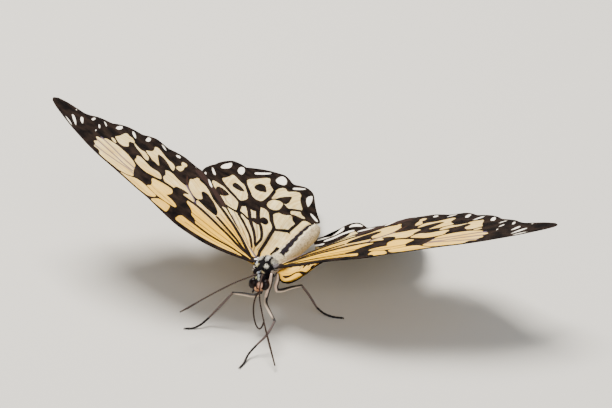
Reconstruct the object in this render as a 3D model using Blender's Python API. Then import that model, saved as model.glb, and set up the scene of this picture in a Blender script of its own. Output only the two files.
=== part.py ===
"""Paper kite butterfly (Idea leuconoe), life size, resting with spread wings.

The animal looks towards -Y and stands on the floor at z = 0. Its left side
points towards +X. The body slopes 13 degrees down towards the tail and leans a
little to its left, as in the reference pose. Four walking legs and the rear
edge of the left hindwing touch the floor; the two short forelegs are folded.

All lengths in this file are millimetres until they are put into a mesh.
"""
import math

import bmesh
import bpy
import numpy as np
from mathutils import Vector
from mathutils.geometry import delaunay_2d_cdt

MM = 0.001

# Where the middle of the thorax is, chosen so that the whole part is centred.
THORAX_AT = (-2.38, -15.06, 14.0)

# How the body is turned: nose up, and a lean towards its own left.
PITCH = math.radians(13.0)
LEAN = math.radians(5.74)
# How far each pair of wings is raised above level, seen from behind.
RAISED = math.radians(20.25)

# The forewing hinge beside the thorax: out to the side, and up from the middle.
HINGE_OUT = 3.0
HINGE_UP = 1.5

WING_THICK = 0.5
VEIN_HIGH = 0.2
VEIN_HALF_WIDE = 0.3
EDGE_STEP = 2.6
FILL_STEP = 7.0

# The wings were measured on the plane of the right wing, looking down on it
# from the front left. A point one millimetre above that plane is seen this much
# further out and further back, which is taken off again.
SEEN_OUT = 0.68
SEEN_BACK = 1.62

# Outline of the forewing: out along the wing, and back towards the tail.
FORE_EDGE = (
    (-0.3, -2.2), (1.6, -3.4), (4.0, -4.9), (6.0, -6.0), (8.5, -7.1), (11.5, -7.8),
    (15.0, -8.0), (18.5, -8.0), (22.0, -7.3), (25.5, -6.2), (29.0, -4.9), (33.0, -3.9),
    (37.0, -2.7), (41.0, -1.5), (45.0, -0.4), (49.0, 1.2), (52.5, 3.0), (56.0, 5.0),
    (59.5, 7.4), (62.5, 9.6), (64.6, 11.6), (65.2, 13.2), (64.4, 14.8), (62.0, 15.6),
    (59.2, 15.8), (57.0, 15.9), (55.6, 16.8), (54.2, 18.4), (52.6, 19.4), (50.6, 20.2),
    (49.4, 21.8), (47.6, 23.6), (45.6, 24.4), (43.4, 24.8), (42.0, 26.2), (40.2, 27.4),
    (38.2, 27.1), (36.2, 26.6), (34.2, 27.3), (31.8, 27.7), (29.6, 27.2), (27.6, 26.7),
    (25.6, 26.5), (23.6, 25.0), (20.6, 22.4), (17.6, 19.9), (14.8, 17.0), (12.0, 13.7),
    (9.0, 10.4), (6.0, 7.2), (3.0, 4.2), (-0.3, 1.4),
)
FORE_VEINS = (
    ((1.6, -2.0), (6.0, -2.3), (12.0, -2.7), (18.0, -2.1), (24.0, -1.5), (27.3, -1.3), (28.4, -4.0)),
    ((27.3, -1.3), (31.0, 0.1), (35.4, 0.2), (38.6, -1.2)),
    ((1.6, -0.7), (6.0, 1.5), (12.0, 4.2), (18.0, 6.6), (22.0, 7.1), (26.0, 7.6), (30.3, 7.7),
     (33.6, 6.8), (37.0, 6.4)),
    ((35.4, 0.2), (36.5, 2.2), (37.0, 4.4), (37.0, 6.4)),
    ((36.5, 2.2), (41.0, 2.6), (46.0, 3.2), (51.0, 4.6), (55.4, 6.2), (59.6, 9.6), (62.0, 13.4)),
    ((37.0, 4.4), (42.0, 5.6), (47.0, 7.6), (51.4, 9.2), (54.6, 11.0), (57.2, 14.6)),
    ((37.0, 6.4), (41.0, 8.6), (45.0, 9.9), (49.0, 11.6), (52.4, 14.4), (53.4, 17.4)),
    ((37.0, 6.4), (39.4, 8.8), (40.2, 11.8), (42.4, 15.4), (44.8, 19.4), (47.0, 22.8)),
    ((30.3, 7.7), (31.4, 10.2), (33.6, 12.8), (36.6, 15.2), (38.9, 18.2), (39.7, 22.4), (40.2, 26.4)),
    ((20.0, 6.9), (22.0, 9.8), (25.4, 13.6), (28.6, 16.2), (30.8, 19.0), (31.6, 22.6), (31.6, 26.6)),
    ((1.6, 0.2), (4.4, 3.2), (8.0, 7.3), (12.0, 11.0), (16.0, 14.2), (19.4, 17.4), (22.2, 20.8),
     (24.8, 25.0)),
)

# Outline of the hindwing, whose front part lies hidden below the forewing.
HIND_EDGE = (
    (-2.6, -2.2), (-0.8, -3.6), (1.6, -4.0), (4.4, -3.6), (6.8, -2.0), (9.2, 1.4),
    (12.8, 5.8), (16.6, 10.4), (20.2, 14.8), (23.0, 19.0), (24.8, 23.0), (25.4, 26.2),
    (25.8, 29.4), (25.6, 32.6), (25.0, 35.4), (24.7, 38.0), (23.9, 41.0), (22.8, 43.4),
    (21.0, 44.3), (19.0, 44.2), (17.8, 45.0), (16.8, 47.0), (15.4, 49.4), (14.2, 51.0),
    (12.6, 52.4), (11.2, 53.4), (9.6, 52.8), (8.4, 51.8), (7.6, 51.7), (6.4, 53.0),
    (5.0, 54.2), (3.6, 54.0), (2.4, 53.0), (1.2, 51.0), (0.2, 48.4), (-0.6, 45.6),
    (-1.4, 43.6), (-2.8, 42.9), (-4.2, 41.8), (-4.8, 40.4), (-4.0, 38.4), (-2.8, 35.6),
    (-2.0, 31.6), (-1.8, 26.0), (-1.8, 20.0), (-1.8, 14.0), (-1.9, 8.0), (-2.4, 3.0),
    (-2.8, 0.8),
)
HIND_VEINS = (
    ((11.8, 18.4), (16.0, 18.6), (20.4, 21.4), (23.4, 25.4)),
    ((4.0, 9.0), (8.0, 13.6), (10.8, 17.2), (12.0, 20.0), (13.2, 23.4), (16.0, 25.3), (19.0, 27.0),
     (22.0, 29.0), (24.6, 32.2)),
    ((2.8, 9.4), (5.6, 14.4), (8.4, 18.8), (11.0, 24.6), (11.2, 29.0)),
    ((1.8, 9.6), (4.0, 15.6), (5.9, 20.4), (8.0, 25.0), (9.2, 29.4)),
    ((0.2, 8.4), (1.0, 14.0), (2.0, 20.6), (3.8, 24.4), (5.9, 28.4), (9.2, 29.4), (11.2, 29.0),
     (13.4, 31.4), (15.4, 34.4), (17.4, 38.0), (17.6, 43.6)),
    ((2.0, 20.6), (0.6, 22.6), (-0.8, 25.4), (-1.0, 31.0), (-0.8, 36.0), (0.0, 41.0)),
    ((5.9, 28.4), (5.2, 31.4), (4.0, 34.6), (2.6, 37.4), (1.6, 40.6), (3.4, 46.0), (4.0, 52.4)),
    ((9.2, 29.4), (9.0, 33.0), (9.3, 38.0), (9.6, 43.0), (8.2, 47.0), (8.0, 50.8)),
    ((15.4, 34.4), (18.4, 35.6), (20.6, 37.4), (21.2, 43.2)),
    ((17.4, 38.0), (14.6, 44.4), (12.9, 47.4), (12.6, 51.4)),
)

# Rings of the thorax, abdomen and head: place along the body towards the tail,
# half width, half height, and how far the ring's middle is above the body line.
THORAX_RINGS = (
    (-3.7, 0.9, 0.9, -0.3), (-3.2, 1.7, 1.7, -0.2), (-2.2, 2.3, 2.3, -0.1), (-0.8, 2.6, 2.6, 0.0),
    (0.8, 2.7, 2.6, 0.0), (2.2, 2.4, 2.4, -0.1), (3.3, 1.8, 1.8, -0.4), (3.8, 1.2, 1.2, -0.6),
)
ABDOMEN_RINGS = (
    (4.1, 1.0, 1.0, -0.7), (4.8, 1.5, 1.5, -0.8), (7.0, 1.8, 1.8, -1.0), (10.0, 2.0, 2.0, -1.2),
    (13.5, 2.1, 2.1, -1.3), (17.0, 2.2, 2.2, -1.3), (20.5, 2.25, 2.25, -1.3),
    (24.0, 2.25, 2.25, -1.2), (27.5, 2.25, 2.25, -1.1), (30.5, 2.2, 2.2, -1.0),
    (33.5, 2.0, 2.0, -0.8), (36.0, 1.5, 1.5, -0.7), (37.4, 0.8, 0.8, -0.7),
)
# The abdomen bends a little to the left on its way to the tip.
ABDOMEN_BEND = 1.6
HEAD_RINGS = (
    (-4.4, 0.8, 1.0, -0.6), (-4.7, 1.2, 1.6, -0.8), (-5.3, 1.35, 1.95, -1.1), (-6.2, 1.3, 1.95, -1.4),
    (-6.9, 1.1, 1.6, -1.7), (-7.3, 0.7, 1.0, -1.9),
)
# The head is turned to the left on the neck.
NECK_ALONG = -4.2
HEAD_TURNED = math.radians(18.0)
BODY_SIDES = 20
HEAD_SIDES = 16

EYE_RADIUS = 1.4
EYE_BULGE = 0.9
EYE_OUT = 1.65
EYE_ALONG = -5.8
EYE_UP = -2.1
EYE_SIDES = 12

# Thin members, each a row of points beside, ahead of and above the floor spot
# below the thorax (right, back, up), with the radius of the member there.
FEMUR_MID_RIGHT = ((-0.9, -1.6, 11.1, 0.45), (-0.4, -3.4, 10.0, 0.48), (-0.5, -4.7, 9.3, 0.48),
                   (-1.6, -5.2, 9.1, 0.5), (-6.2, -5.7, 9.5, 0.36))
TIBIA_MID_RIGHT = ((-6.8, -6.0, 9.0, 0.36), (-9.2, -6.7, 5.8, 0.34), (-11.9, -7.4, 2.5, 0.3))
TARSUS_MID_RIGHT = ((-12.2, -7.7, 2.0, 0.28), (-13.5, -9.0, 1.0, 0.27), (-15.2, -10.1, 0.2, 0.26),
                    (-16.6, -10.6, 0.2, 0.26))
FEMUR_MID_LEFT = ((2.5, -3.5, 14.3, 0.42), (2.4, -3.5, 13.2, 0.55), (2.1, -3.7, 11.8, 0.58),
                  (1.9, -4.4, 10.6, 0.52), (1.75, -5.4, 9.2, 0.48), (2.4, -7.2, 8.4, 0.45),
                  (5.8, -11.3, 7.6, 0.36))
TIBIA_MID_LEFT = ((6.0, -12.0, 7.1, 0.36), (4.8, -14.1, 4.9, 0.34), (3.0, -15.6, 2.9, 0.3))
TARSUS_MID_LEFT = ((2.6, -16.0, 2.4, 0.28), (1.5, -17.9, 1.2, 0.27), (1.2, -20.6, 0.2, 0.26),
                   (0.9, -22.2, 0.2, 0.26))
FEMUR_HIND_LEFT = ((3.3, -0.8, 12.9, 0.42), (3.3, -0.9, 12.2, 0.5), (3.1, -1.0, 11.2, 0.52),
                   (3.0, -1.5, 10.2, 0.5), (3.3, -1.8, 9.4, 0.5), (4.4, -1.2, 9.3, 0.46),
                   (8.2, 1.4, 9.9, 0.36))
TIBIA_HIND_LEFT = ((8.6, 1.8, 9.5, 0.36), (9.9, 3.2, 6.0, 0.34), (11.1, 4.4, 2.5, 0.3))
TARSUS_HIND_LEFT = ((11.5, 4.5, 2.0, 0.28), (13.1, 4.5, 0.9, 0.27), (15.3, 4.6, 0.2, 0.26),
                    (17.3, 4.8, 0.2, 0.26))
FEMUR_HIND_RIGHT = ((-1.4, 0.6, 10.9, 0.45), (-2.2, 2.8, 10.0, 0.5), (-3.2, 7.0, 9.2, 0.36))
TIBIA_HIND_RIGHT = ((-3.3, 7.7, 8.8, 0.36), (-3.6, 11.0, 5.8, 0.34), (-3.8, 14.2, 2.6, 0.3))
TARSUS_HIND_RIGHT = ((-3.9, 14.7, 2.1, 0.28), (-4.0, 16.5, 1.0, 0.27), (-4.2, 18.8, 0.2, 0.26),
                     (-4.4, 20.8, 0.2, 0.26))
FORELEG_RIGHT = ((-0.9, -3.2, 11.9, 0.32), (-1.1, -4.6, 11.5, 0.36), (-1.2, -6.4, 10.9, 0.22))
FORELEG_LEFT = ((0.7, -3.2, 11.9, 0.32), (0.8, -4.6, 11.5, 0.36), (0.9, -6.4, 10.9, 0.22))
ANTENNA_RIGHT = ((-0.5, -6.6, 15.9, 0.25), (-2.4, -7.5, 15.2, 0.25), (-6.2, -9.3, 13.5, 0.25),
                 (-10.8, -13.2, 11.5, 0.25), (-13.4, -15.7, 10.3, 0.3), (-15.4, -17.7, 9.5, 0.22))
ANTENNA_LEFT = ((1.3, -6.6, 16.2, 0.25), (1.5, -8.8, 15.2, 0.25), (1.8, -10.3, 13.4, 0.25),
                (2.1, -11.0, 11.6, 0.25), (3.3, -12.8, 9.2, 0.25),
                (4.7, -14.9, 7.0, 0.25), (6.5, -17.4, 4.4, 0.3), (9.0, -21.1, 1.5, 0.22))
PALP_RIGHT = ((0.4, -8.3, 12.6, 0.3), (0.3, -8.7, 13.2, 0.36), (0.3, -8.9, 14.0, 0.22))
PALP_LEFT = ((1.4, -7.9, 12.5, 0.3), (1.4, -8.4, 13.1, 0.36), (1.4, -8.6, 13.9, 0.22))
PROBOSCIS = ((0.5, -7.2, 11.6, 0.25), (-0.1, -7.6, 10.4, 0.25), (-0.5, -7.9, 8.5, 0.25),
             (-0.6, -7.9, 6.1, 0.25), (-0.4, -7.8, 4.0, 0.25), (0.0, -7.7, 2.4, 0.25),
             (0.6, -7.6, 1.6, 0.25), (1.2, -7.5, 2.0, 0.25), (1.6, -7.4, 3.1, 0.25),
             (1.8, -7.3, 4.2, 0.2))
MEMBER_SIDES = 8

# The left hindwing hangs lower than the right one, down to the floor, and its
# front corner beside the body sags most: how deep, where, and how wide.
LEFT_HANG = 0.13
LEFT_SAG = 3.1
SAG_OUT = 3.2
SAG_WIDE = 4.8
LEFT_ARCH = 1.7

# The part of each hindwing behind the forewing is turned up a little.
TURNED_UP = 0.08

ALONG = np.array([0.0, math.cos(PITCH), -math.sin(PITCH)])
UPRIGHT = np.array([0.0, math.sin(PITCH), math.cos(PITCH)])
LEFTWARD = math.cos(LEAN) * np.array([1.0, 0.0, 0.0]) - math.sin(LEAN) * UPRIGHT
BACKWARD_UP = math.cos(LEAN) * UPRIGHT + math.sin(LEAN) * np.array([1.0, 0.0, 0.0])
MIDDLE = np.array(THORAX_AT)


def body_point(left, up, along):
    """A place given in the turned frame of the body."""
    return MIDDLE + LEFTWARD * left + BACKWARD_UP * up + ALONG * along


def head_point(left, up, along):
    """A place given in the frame of the head, before it is turned."""
    ahead = NECK_ALONG - along
    turned_left = left * math.cos(HEAD_TURNED) + ahead * math.sin(HEAD_TURNED)
    turned_along = NECK_ALONG - ahead * math.cos(HEAD_TURNED) + left * math.sin(HEAD_TURNED)
    return body_point(turned_left, up, turned_along)


def ease(x, low, high):
    """0 below low, 1 above high, with a smooth rise between."""
    f = min(max((x - low) / (high - low), 0.0), 1.0)
    return f * f * (3.0 - 2.0 * f)


def costa_droop(a, b):
    """How far the front edge bends down near the hinge."""
    hump = math.exp(-((a - 14.0) / 9.0) ** 2)
    return 1.6 * hump * (1.0 - ease(b, -8.0, 3.0))


def height_right(fore, a, b):
    """Height of the right wing's middle surface over the wing plane."""
    if fore:
        return -costa_droop(a, b)
    behind = max((b - 1.04 * a - 3.0) / 1.44, 0.0)
    return -1.3 - costa_droop(a, b) - 1.0 * (1.0 - ease(a, -2.0, 3.0)) + TURNED_UP * behind


def settled(fore, a, b):
    """Take the effect of the height off a measured place."""
    h = height_right(fore, a, b)
    return a - SEEN_OUT * h, b - SEEN_BACK * h


def height_left(fore, a, b):
    """Height of the left wing's middle surface over the wing plane."""
    out, back = settled(fore, a, b)
    arch = LEFT_ARCH * math.sin(math.pi * min(max(out / 66.0, 0.0), 1.0) ** 0.75)
    if fore:
        return arch
    sag = LEFT_SAG * math.exp(-((out - SAG_OUT) / SAG_WIDE) ** 2) * ease(out, -1.2, 1.4)
    sag *= 1.0 - ease(back, 2.0, 16.0)
    hang = LEFT_HANG * max(back, 0.0)
    root = 1.0 * (1.0 - ease(a, -2.0, 3.0))
    return arch - 1.3 - root - sag - hang


def wing_point(side, fore, a, b, lift):
    """A wing place in the room, with lift added square to the wing plane."""
    out, back = settled(fore, a, b)
    h = (height_left if side > 0 else height_right)(fore, a, b)
    outward = side * math.cos(RAISED) * LEFTWARD + math.sin(RAISED) * BACKWARD_UP
    square = -side * math.sin(RAISED) * LEFTWARD + math.cos(RAISED) * BACKWARD_UP
    hinge = body_point(side * HINGE_OUT, HINGE_UP, 0.0)
    return hinge + outward * out + ALONG * back + square * (h + lift)


def inside(poly, x, y):
    """Whether a place lies inside a closed outline."""
    found = False
    for (x0, y0), (x1, y1) in zip(poly, poly[1:] + poly[:1]):
        if (y0 > y) != (y1 > y) and x < x0 + (y - y0) / (y1 - y0) * (x1 - x0):
            found = not found
    return found


def distance_to_line(line, x, y):
    """Shortest distance from a place to an open row of points."""
    best = 1e9
    for (x0, y0), (x1, y1) in zip(line, line[1:]):
        dx, dy = x1 - x0, y1 - y0
        f = ((x - x0) * dx + (y - y0) * dy) / (dx * dx + dy * dy)
        f = min(max(f, 0.0), 1.0)
        best = min(best, math.hypot(x - x0 - f * dx, y - y0 - f * dy))
    return best


def finish(name, verts, faces, colour, rough):
    """Make a closed mesh object with its own material."""
    bm = bmesh.new()
    made = [bm.verts.new(Vector([c * MM for c in v])) for v in verts]
    for f in faces:
        bm.faces.new([made[i] for i in f])
    bmesh.ops.triangulate(bm, faces=bm.faces[:])
    bmesh.ops.recalc_face_normals(bm, faces=bm.faces[:])
    mesh = bpy.data.meshes.new(name)
    bm.to_mesh(mesh)
    bm.free()
    item = bpy.data.objects.new(name, mesh)
    bpy.context.scene.collection.objects.link(item)
    mat = bpy.data.materials.new(name + "_look")
    mat.use_nodes = True
    shader = mat.node_tree.nodes["Principled BSDF"]
    shader.inputs["Base Color"].default_value = colour + (1.0,)
    shader.inputs["Roughness"].default_value = rough
    mesh.materials.append(mat)
    return item


def split_edge_line(line, step):
    """Add points on the long pieces of a closed outline."""
    out = []
    for (x0, y0), (x1, y1) in zip(line, line[1:] + line[:1]):
        n = max(1, round(math.hypot(x1 - x0, y1 - y0) / step))
        for k in range(n):
            out.append((x0 + (x1 - x0) * k / n, y0 + (y1 - y0) * k / n))
    return out


def side_lines(line, half):
    """The two lines beside an open row of points, closed to a tip at each end."""
    left, right = [line[0]], [line[0]]
    for i in range(1, len(line) - 1):
        (x0, y0), (x1, y1), (x2, y2) = line[i - 1], line[i], line[i + 1]
        dx, dy = x2 - x0, y2 - y0
        size = math.hypot(dx, dy)
        nx, ny = -dy / size * half, dx / size * half
        left.append((x1 + nx, y1 + ny))
        right.append((x1 - nx, y1 - ny))
    left.append(line[-1])
    right.append(line[-1])
    return left, right


def wing(name, side, fore, edge, veins, colour):
    """A thin wing with raised veins on its upper face.

    The outline, the veins and the lines beside them are joined into one net of
    triangles, which is used alike for the upper and the lower face.
    """
    outline = split_edge_line(list(edge), EDGE_STEP)
    points = [Vector(p) for p in outline]
    n = len(points)
    lines = [(i, (i + 1) % n) for i in range(n)]
    for vein in veins:
        for row in (list(vein),) + side_lines(list(vein), VEIN_HALF_WIDE):
            first = len(points)
            points.extend(Vector(p) for p in row)
            lines.extend((first + i, first + i + 1) for i in range(len(row) - 1))
    xs = [p[0] for p in outline]
    ys = [p[1] for p in outline]
    y = min(ys) + FILL_STEP / 2.0
    while y < max(ys):
        x = min(xs) + FILL_STEP / 2.0
        while x < max(xs):
            clear = min(distance_to_line(list(v), x, y) for v in veins)
            rim = distance_to_line(outline + outline[:1], x, y)
            if inside(outline, x, y) and clear > 1.5 and rim > 1.5:
                points.append(Vector((x, y)))
            x += FILL_STEP
        y += FILL_STEP
    flat, _, tris, _, _, _ = delaunay_2d_cdt(points, lines, [], 0, 0.02)
    kept = []
    for tri in tris:
        cx = sum(flat[i][0] for i in tri) / 3.0
        cy = sum(flat[i][1] for i in tri) / 3.0
        if inside(outline, cx, cy):
            kept.append(tuple(tri))
    used = sorted({i for tri in kept for i in tri})
    place = {old: new for new, old in enumerate(used)}
    top, low = [], []
    for old in used:
        a, b = flat[old]
        near = min(distance_to_line(list(v), a, b) for v in veins)
        ridge = VEIN_HIGH * max(0.0, 1.0 - near / VEIN_HALF_WIDE)
        up = wing_point(side, fore, a, b, WING_THICK / 2.0 + ridge)
        down = wing_point(side, fore, a, b, -WING_THICK / 2.0)
        up[2] = max(up[2], WING_THICK)
        down[2] = max(down[2], 0.0)
        top.append(up)
        low.append(down)
    count = len(used)
    faces = []
    border = {}
    for i, j, k in kept:
        i, j, k = place[i], place[j], place[k]
        faces.append((i, j, k))
        faces.append((k + count, j + count, i + count))
        for p, q in ((i, j), (j, k), (k, i)):
            if (q, p) in border:
                del border[(q, p)]
            else:
                border[(p, q)] = True
    for p, q in border:
        faces.append((q, p, p + count))
        faces.append((q, p + count, q + count))
    return finish(name, top + low, faces, colour, 0.6)


def loft(name, place, rings, sides, bend, colour, rough):
    """A closed body through rings along the body line, with flat ends.

    Place turns a point of the body or of the head into a point in the room.
    Bend is how far the last ring stands out to the left of the first.
    """
    verts, faces = [], []
    first, last = rings[0][0], rings[-1][0]
    for along, half_wide, half_high, up in rings:
        left = bend * ((along - first) / (last - first))
        for k in range(sides):
            turn = 2.0 * math.pi * (k + 0.5) / sides
            verts.append(place(left + half_wide * math.cos(turn), up + half_high * math.sin(turn), along))
    close_rows(faces, len(rings), sides)
    return finish(name, verts, faces, colour, rough)


def close_rows(faces, rows, sides):
    """Join neighbouring rings and close the first and the last."""
    for r in range(rows - 1):
        for k in range(sides):
            a = r * sides + k
            b = r * sides + (k + 1) % sides
            faces.append((a, b, b + sides, a + sides))
    faces.append(tuple(reversed(range(sides))))
    faces.append(tuple(range((rows - 1) * sides, rows * sides)))


def member(name, stations, colour):
    """A thin round member through the stations, held above the floor."""
    centres = [np.array([MIDDLE[0] + s[0], MIDDLE[1] + s[1], s[2]]) for s in stations]
    verts, faces = [], []
    side_way = None
    for i, centre in enumerate(centres):
        ahead = centres[min(i + 1, len(centres) - 1)] - centres[max(i - 1, 0)]
        ahead = ahead / np.linalg.norm(ahead)
        if side_way is None:
            side_way = np.cross(ahead, np.array([0.0, 0.0, 1.0]))
        side_way = side_way - ahead * (side_way @ ahead)
        side_way = side_way / np.linalg.norm(side_way)
        other = np.cross(ahead, side_way)
        for k in range(MEMBER_SIDES):
            turn = 2.0 * math.pi * (k + 0.5) / MEMBER_SIDES
            v = centre + stations[i][3] * (math.cos(turn) * side_way + math.sin(turn) * other)
            v[2] = max(v[2], 0.0)
            verts.append(v)
    close_rows(faces, len(centres), MEMBER_SIDES)
    return finish(name, verts, faces, colour, 0.5)


def eye(name, side, colour):
    """A domed eye whose flat back faces the side of the head."""
    verts, faces = [], []
    rows = ((1.0, 0.0), (0.95, 0.35), (0.75, 0.68), (0.4, 0.92))
    for wide, out in rows:
        for k in range(EYE_SIDES):
            turn = 2.0 * math.pi * k / EYE_SIDES
            radius = EYE_RADIUS * wide
            verts.append(head_point(side * (EYE_OUT + EYE_BULGE * out), EYE_UP + radius * math.sin(turn),
                                    EYE_ALONG + radius * 0.85 * math.cos(turn)))
    close_rows(faces, len(rows), EYE_SIDES)
    return finish(name, verts, faces, colour, 0.2)


for old_item in list(bpy.data.objects):
    bpy.data.objects.remove(old_item)

CREAM = (0.78, 0.72, 0.55)
DARK = (0.05, 0.04, 0.04)
GREY = (0.62, 0.60, 0.52)
PEACH = (0.75, 0.45, 0.28)

wing("forewing_right", -1, True, FORE_EDGE, FORE_VEINS, CREAM)
wing("forewing_left", 1, True, FORE_EDGE, FORE_VEINS, CREAM)
wing("hindwing_right", -1, False, HIND_EDGE, HIND_VEINS, CREAM)
wing("hindwing_left", 1, False, HIND_EDGE, HIND_VEINS, CREAM)
loft("thorax", body_point, THORAX_RINGS, BODY_SIDES, 0.0, DARK, 0.7)
loft("abdomen", body_point, ABDOMEN_RINGS, BODY_SIDES, ABDOMEN_BEND, GREY, 0.7)
loft("head", head_point, HEAD_RINGS, HEAD_SIDES, 0.0, DARK, 0.6)
eye("eye_right", -1, DARK)
eye("eye_left", 1, DARK)
member("palp_right", PALP_RIGHT, PEACH)
member("palp_left", PALP_LEFT, PEACH)
member("proboscis", PROBOSCIS, DARK)
member("antenna_right", ANTENNA_RIGHT, DARK)
member("antenna_left", ANTENNA_LEFT, DARK)
member("foreleg_right", FORELEG_RIGHT, DARK)
member("foreleg_left", FORELEG_LEFT, DARK)
member("femur_mid_right", FEMUR_MID_RIGHT, DARK)
member("tibia_mid_right", TIBIA_MID_RIGHT, DARK)
member("tarsus_mid_right", TARSUS_MID_RIGHT, DARK)
member("femur_mid_left", FEMUR_MID_LEFT, DARK)
member("tibia_mid_left", TIBIA_MID_LEFT, DARK)
member("tarsus_mid_left", TARSUS_MID_LEFT, DARK)
member("femur_hind_left", FEMUR_HIND_LEFT, DARK)
member("tibia_hind_left", TIBIA_HIND_LEFT, DARK)
member("tarsus_hind_left", TARSUS_HIND_LEFT, DARK)
member("femur_hind_right", FEMUR_HIND_RIGHT, DARK)
member("tibia_hind_right", TIBIA_HIND_RIGHT, DARK)
member("tarsus_hind_right", TARSUS_HIND_RIGHT, DARK)
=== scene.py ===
"""Looks of the paper kite butterfly (Idea leuconoe), life size, at rest.

Every length in the tables is in millimetres. Marks on the wings are given in
the wing's own flat measure: a out from the hinge, and b back towards the tail.
Places on the body are left, up and along from the middle of the thorax.
"""

import math

import bpy
import numpy as np
from mathutils import Matrix, Vector


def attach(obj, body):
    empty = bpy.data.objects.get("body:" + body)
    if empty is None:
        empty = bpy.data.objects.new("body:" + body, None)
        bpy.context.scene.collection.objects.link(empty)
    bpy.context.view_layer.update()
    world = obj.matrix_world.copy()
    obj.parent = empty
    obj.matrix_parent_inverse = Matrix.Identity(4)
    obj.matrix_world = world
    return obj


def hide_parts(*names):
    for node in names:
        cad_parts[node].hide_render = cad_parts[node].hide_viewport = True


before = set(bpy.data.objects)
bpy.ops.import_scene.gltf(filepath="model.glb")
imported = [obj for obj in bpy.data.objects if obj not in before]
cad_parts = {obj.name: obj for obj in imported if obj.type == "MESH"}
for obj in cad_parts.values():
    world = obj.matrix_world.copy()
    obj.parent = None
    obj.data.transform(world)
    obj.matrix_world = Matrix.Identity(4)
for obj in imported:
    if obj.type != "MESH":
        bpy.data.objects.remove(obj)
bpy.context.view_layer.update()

MM = 0.001
# The middle of the thorax in the room.
THORAX_AT = np.array([-2.38, -15.06, 14.0])

# How the body is held: its slope down to the tail, its lean to its left, the
# head's turn to the left, where the neck lies along the body, and from where
# to where that turn fades out.
PITCH = math.radians(13.0)
LEAN = math.radians(5.74)
HEAD_TURNED = math.radians(18.0)
NECK_ALONG = -4.2
NECK_FADE = (NECK_ALONG - 0.3, NECK_ALONG + 0.4)
ALONG = np.array([0.0, math.cos(PITCH), -math.sin(PITCH)])
UPRIGHT = np.array([0.0, math.sin(PITCH), math.cos(PITCH)])
ACROSS = np.array([1.0, 0.0, 0.0])
LEFTWARD = math.cos(LEAN) * ACROSS - math.sin(LEAN) * UPRIGHT
BODY_UP = math.cos(LEAN) * UPRIGHT + math.sin(LEAN) * ACROSS

# How far the wings are raised, and how far out and up their hinges lie.
RAISED = math.radians(20.25)
HINGE_OUT = 3.0
HINGE_UP = 1.5
# The marks are placed as the camera sees them on a flat right wing. A place
# over the wing plane lies this much less out and back for each unit of height.
SEEN_OUT = 0.68
SEEN_BACK = 1.62
# How far the hindwings lie below the forewings, and between which places out
# their roots rise to that.
HIND_BELOW = 1.3
ROOT_RISE = (-2.0, 3.0)
# The front edge bends down near the hinge: how far, where, how widely, and
# between which places back it fades out.
DROOP = 1.6
DROOP_OUT = 14.0
DROOP_WIDE = 9.0
DROOP_FADE = (-8.0, 3.0)
# The right hindwing turns up behind a slanting line: how far back the line
# starts, how far back it runs and how long it is for each unit out, and how
# steeply the wing rises behind it.
TURN_BACK = 3.0
TURN_SLOPE = 1.04
TURN_LONG = 1.44
TURNED_UP = 0.08
# The left wings arch: how high, over what length, and the power that brings
# the top of the arch nearer to the body.
LEFT_ARCH = 1.7
ARCH_LONG = 66.0
ARCH_POWER = 0.75
# The left hindwing hangs down towards its rear, and its inner front corner
# sags: how far, where, how widely, and between which places out and back the
# sag starts and ends.
LEFT_HANG = 0.13
LEFT_SAG = 3.1
SAG_OUT = 3.2
SAG_WIDE = 4.8
SAG_START = (-2.6, -0.2)
SAG_END = (2.0, 16.0)


def body_point(left, up, along):
    """Places given in the frame of the body: the thorax's middle, plus left,
    up and along in the body's three directions."""
    left, up, along = np.broadcast_arrays(np.asarray(left, float), up, along)
    return THORAX_AT + left[..., None] * LEFTWARD + up[..., None] * BODY_UP + along[..., None] * ALONG


def ease(x, low, high):
    """0 below low and 1 above high. Between them it is three times the square
    of the share less twice its cube."""
    f = np.clip((x - low) / (high - low), 0.0, 1.0)
    return f * f * (3.0 - 2.0 * f)


def unit(ways):
    """The same directions, each divided by its length."""
    return ways / np.linalg.norm(ways, axis=-1, keepdims=True)


def head_point(left, up, along):
    """Places given in the frame of the head, which is turned to the left. The
    turn fades out along the neck: it is whole ahead of the neck and none at
    the thorax."""
    left, up, along = np.broadcast_arrays(np.asarray(left, float), up, along)
    turn = HEAD_TURNED * (1.0 - ease(along, *NECK_FADE))
    ahead = NECK_ALONG - along
    turned_left = left * np.cos(turn) + ahead * np.sin(turn)
    turned_along = NECK_ALONG - ahead * np.cos(turn) + left * np.sin(turn)
    return body_point(turned_left, up, turned_along)


def front_droop(a, b):
    """How far the front edge bends down: a bell curve along the wing, which
    fades out towards the rear."""
    return DROOP * np.exp(-((a - DROOP_OUT) / DROOP_WIDE) ** 2) * (1.0 - ease(b, *DROOP_FADE))


def root_drop(a):
    """How far a hindwing drops at its root: 1 next to the body, none farther out."""
    return 1.0 - ease(a, *ROOT_RISE)


def height_right(fore, a, b):
    """Height of the right wing's middle surface over the wing plane. Both
    wings droop in front. The hindwing lies lower, drops at its root and rises
    evenly with the distance behind the slanting line."""
    if fore:
        return -front_droop(a, b)
    behind = np.maximum((b - TURN_SLOPE * a - TURN_BACK) / TURN_LONG, 0.0)
    return -HIND_BELOW - front_droop(a, b) - root_drop(a) + TURNED_UP * behind


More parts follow.
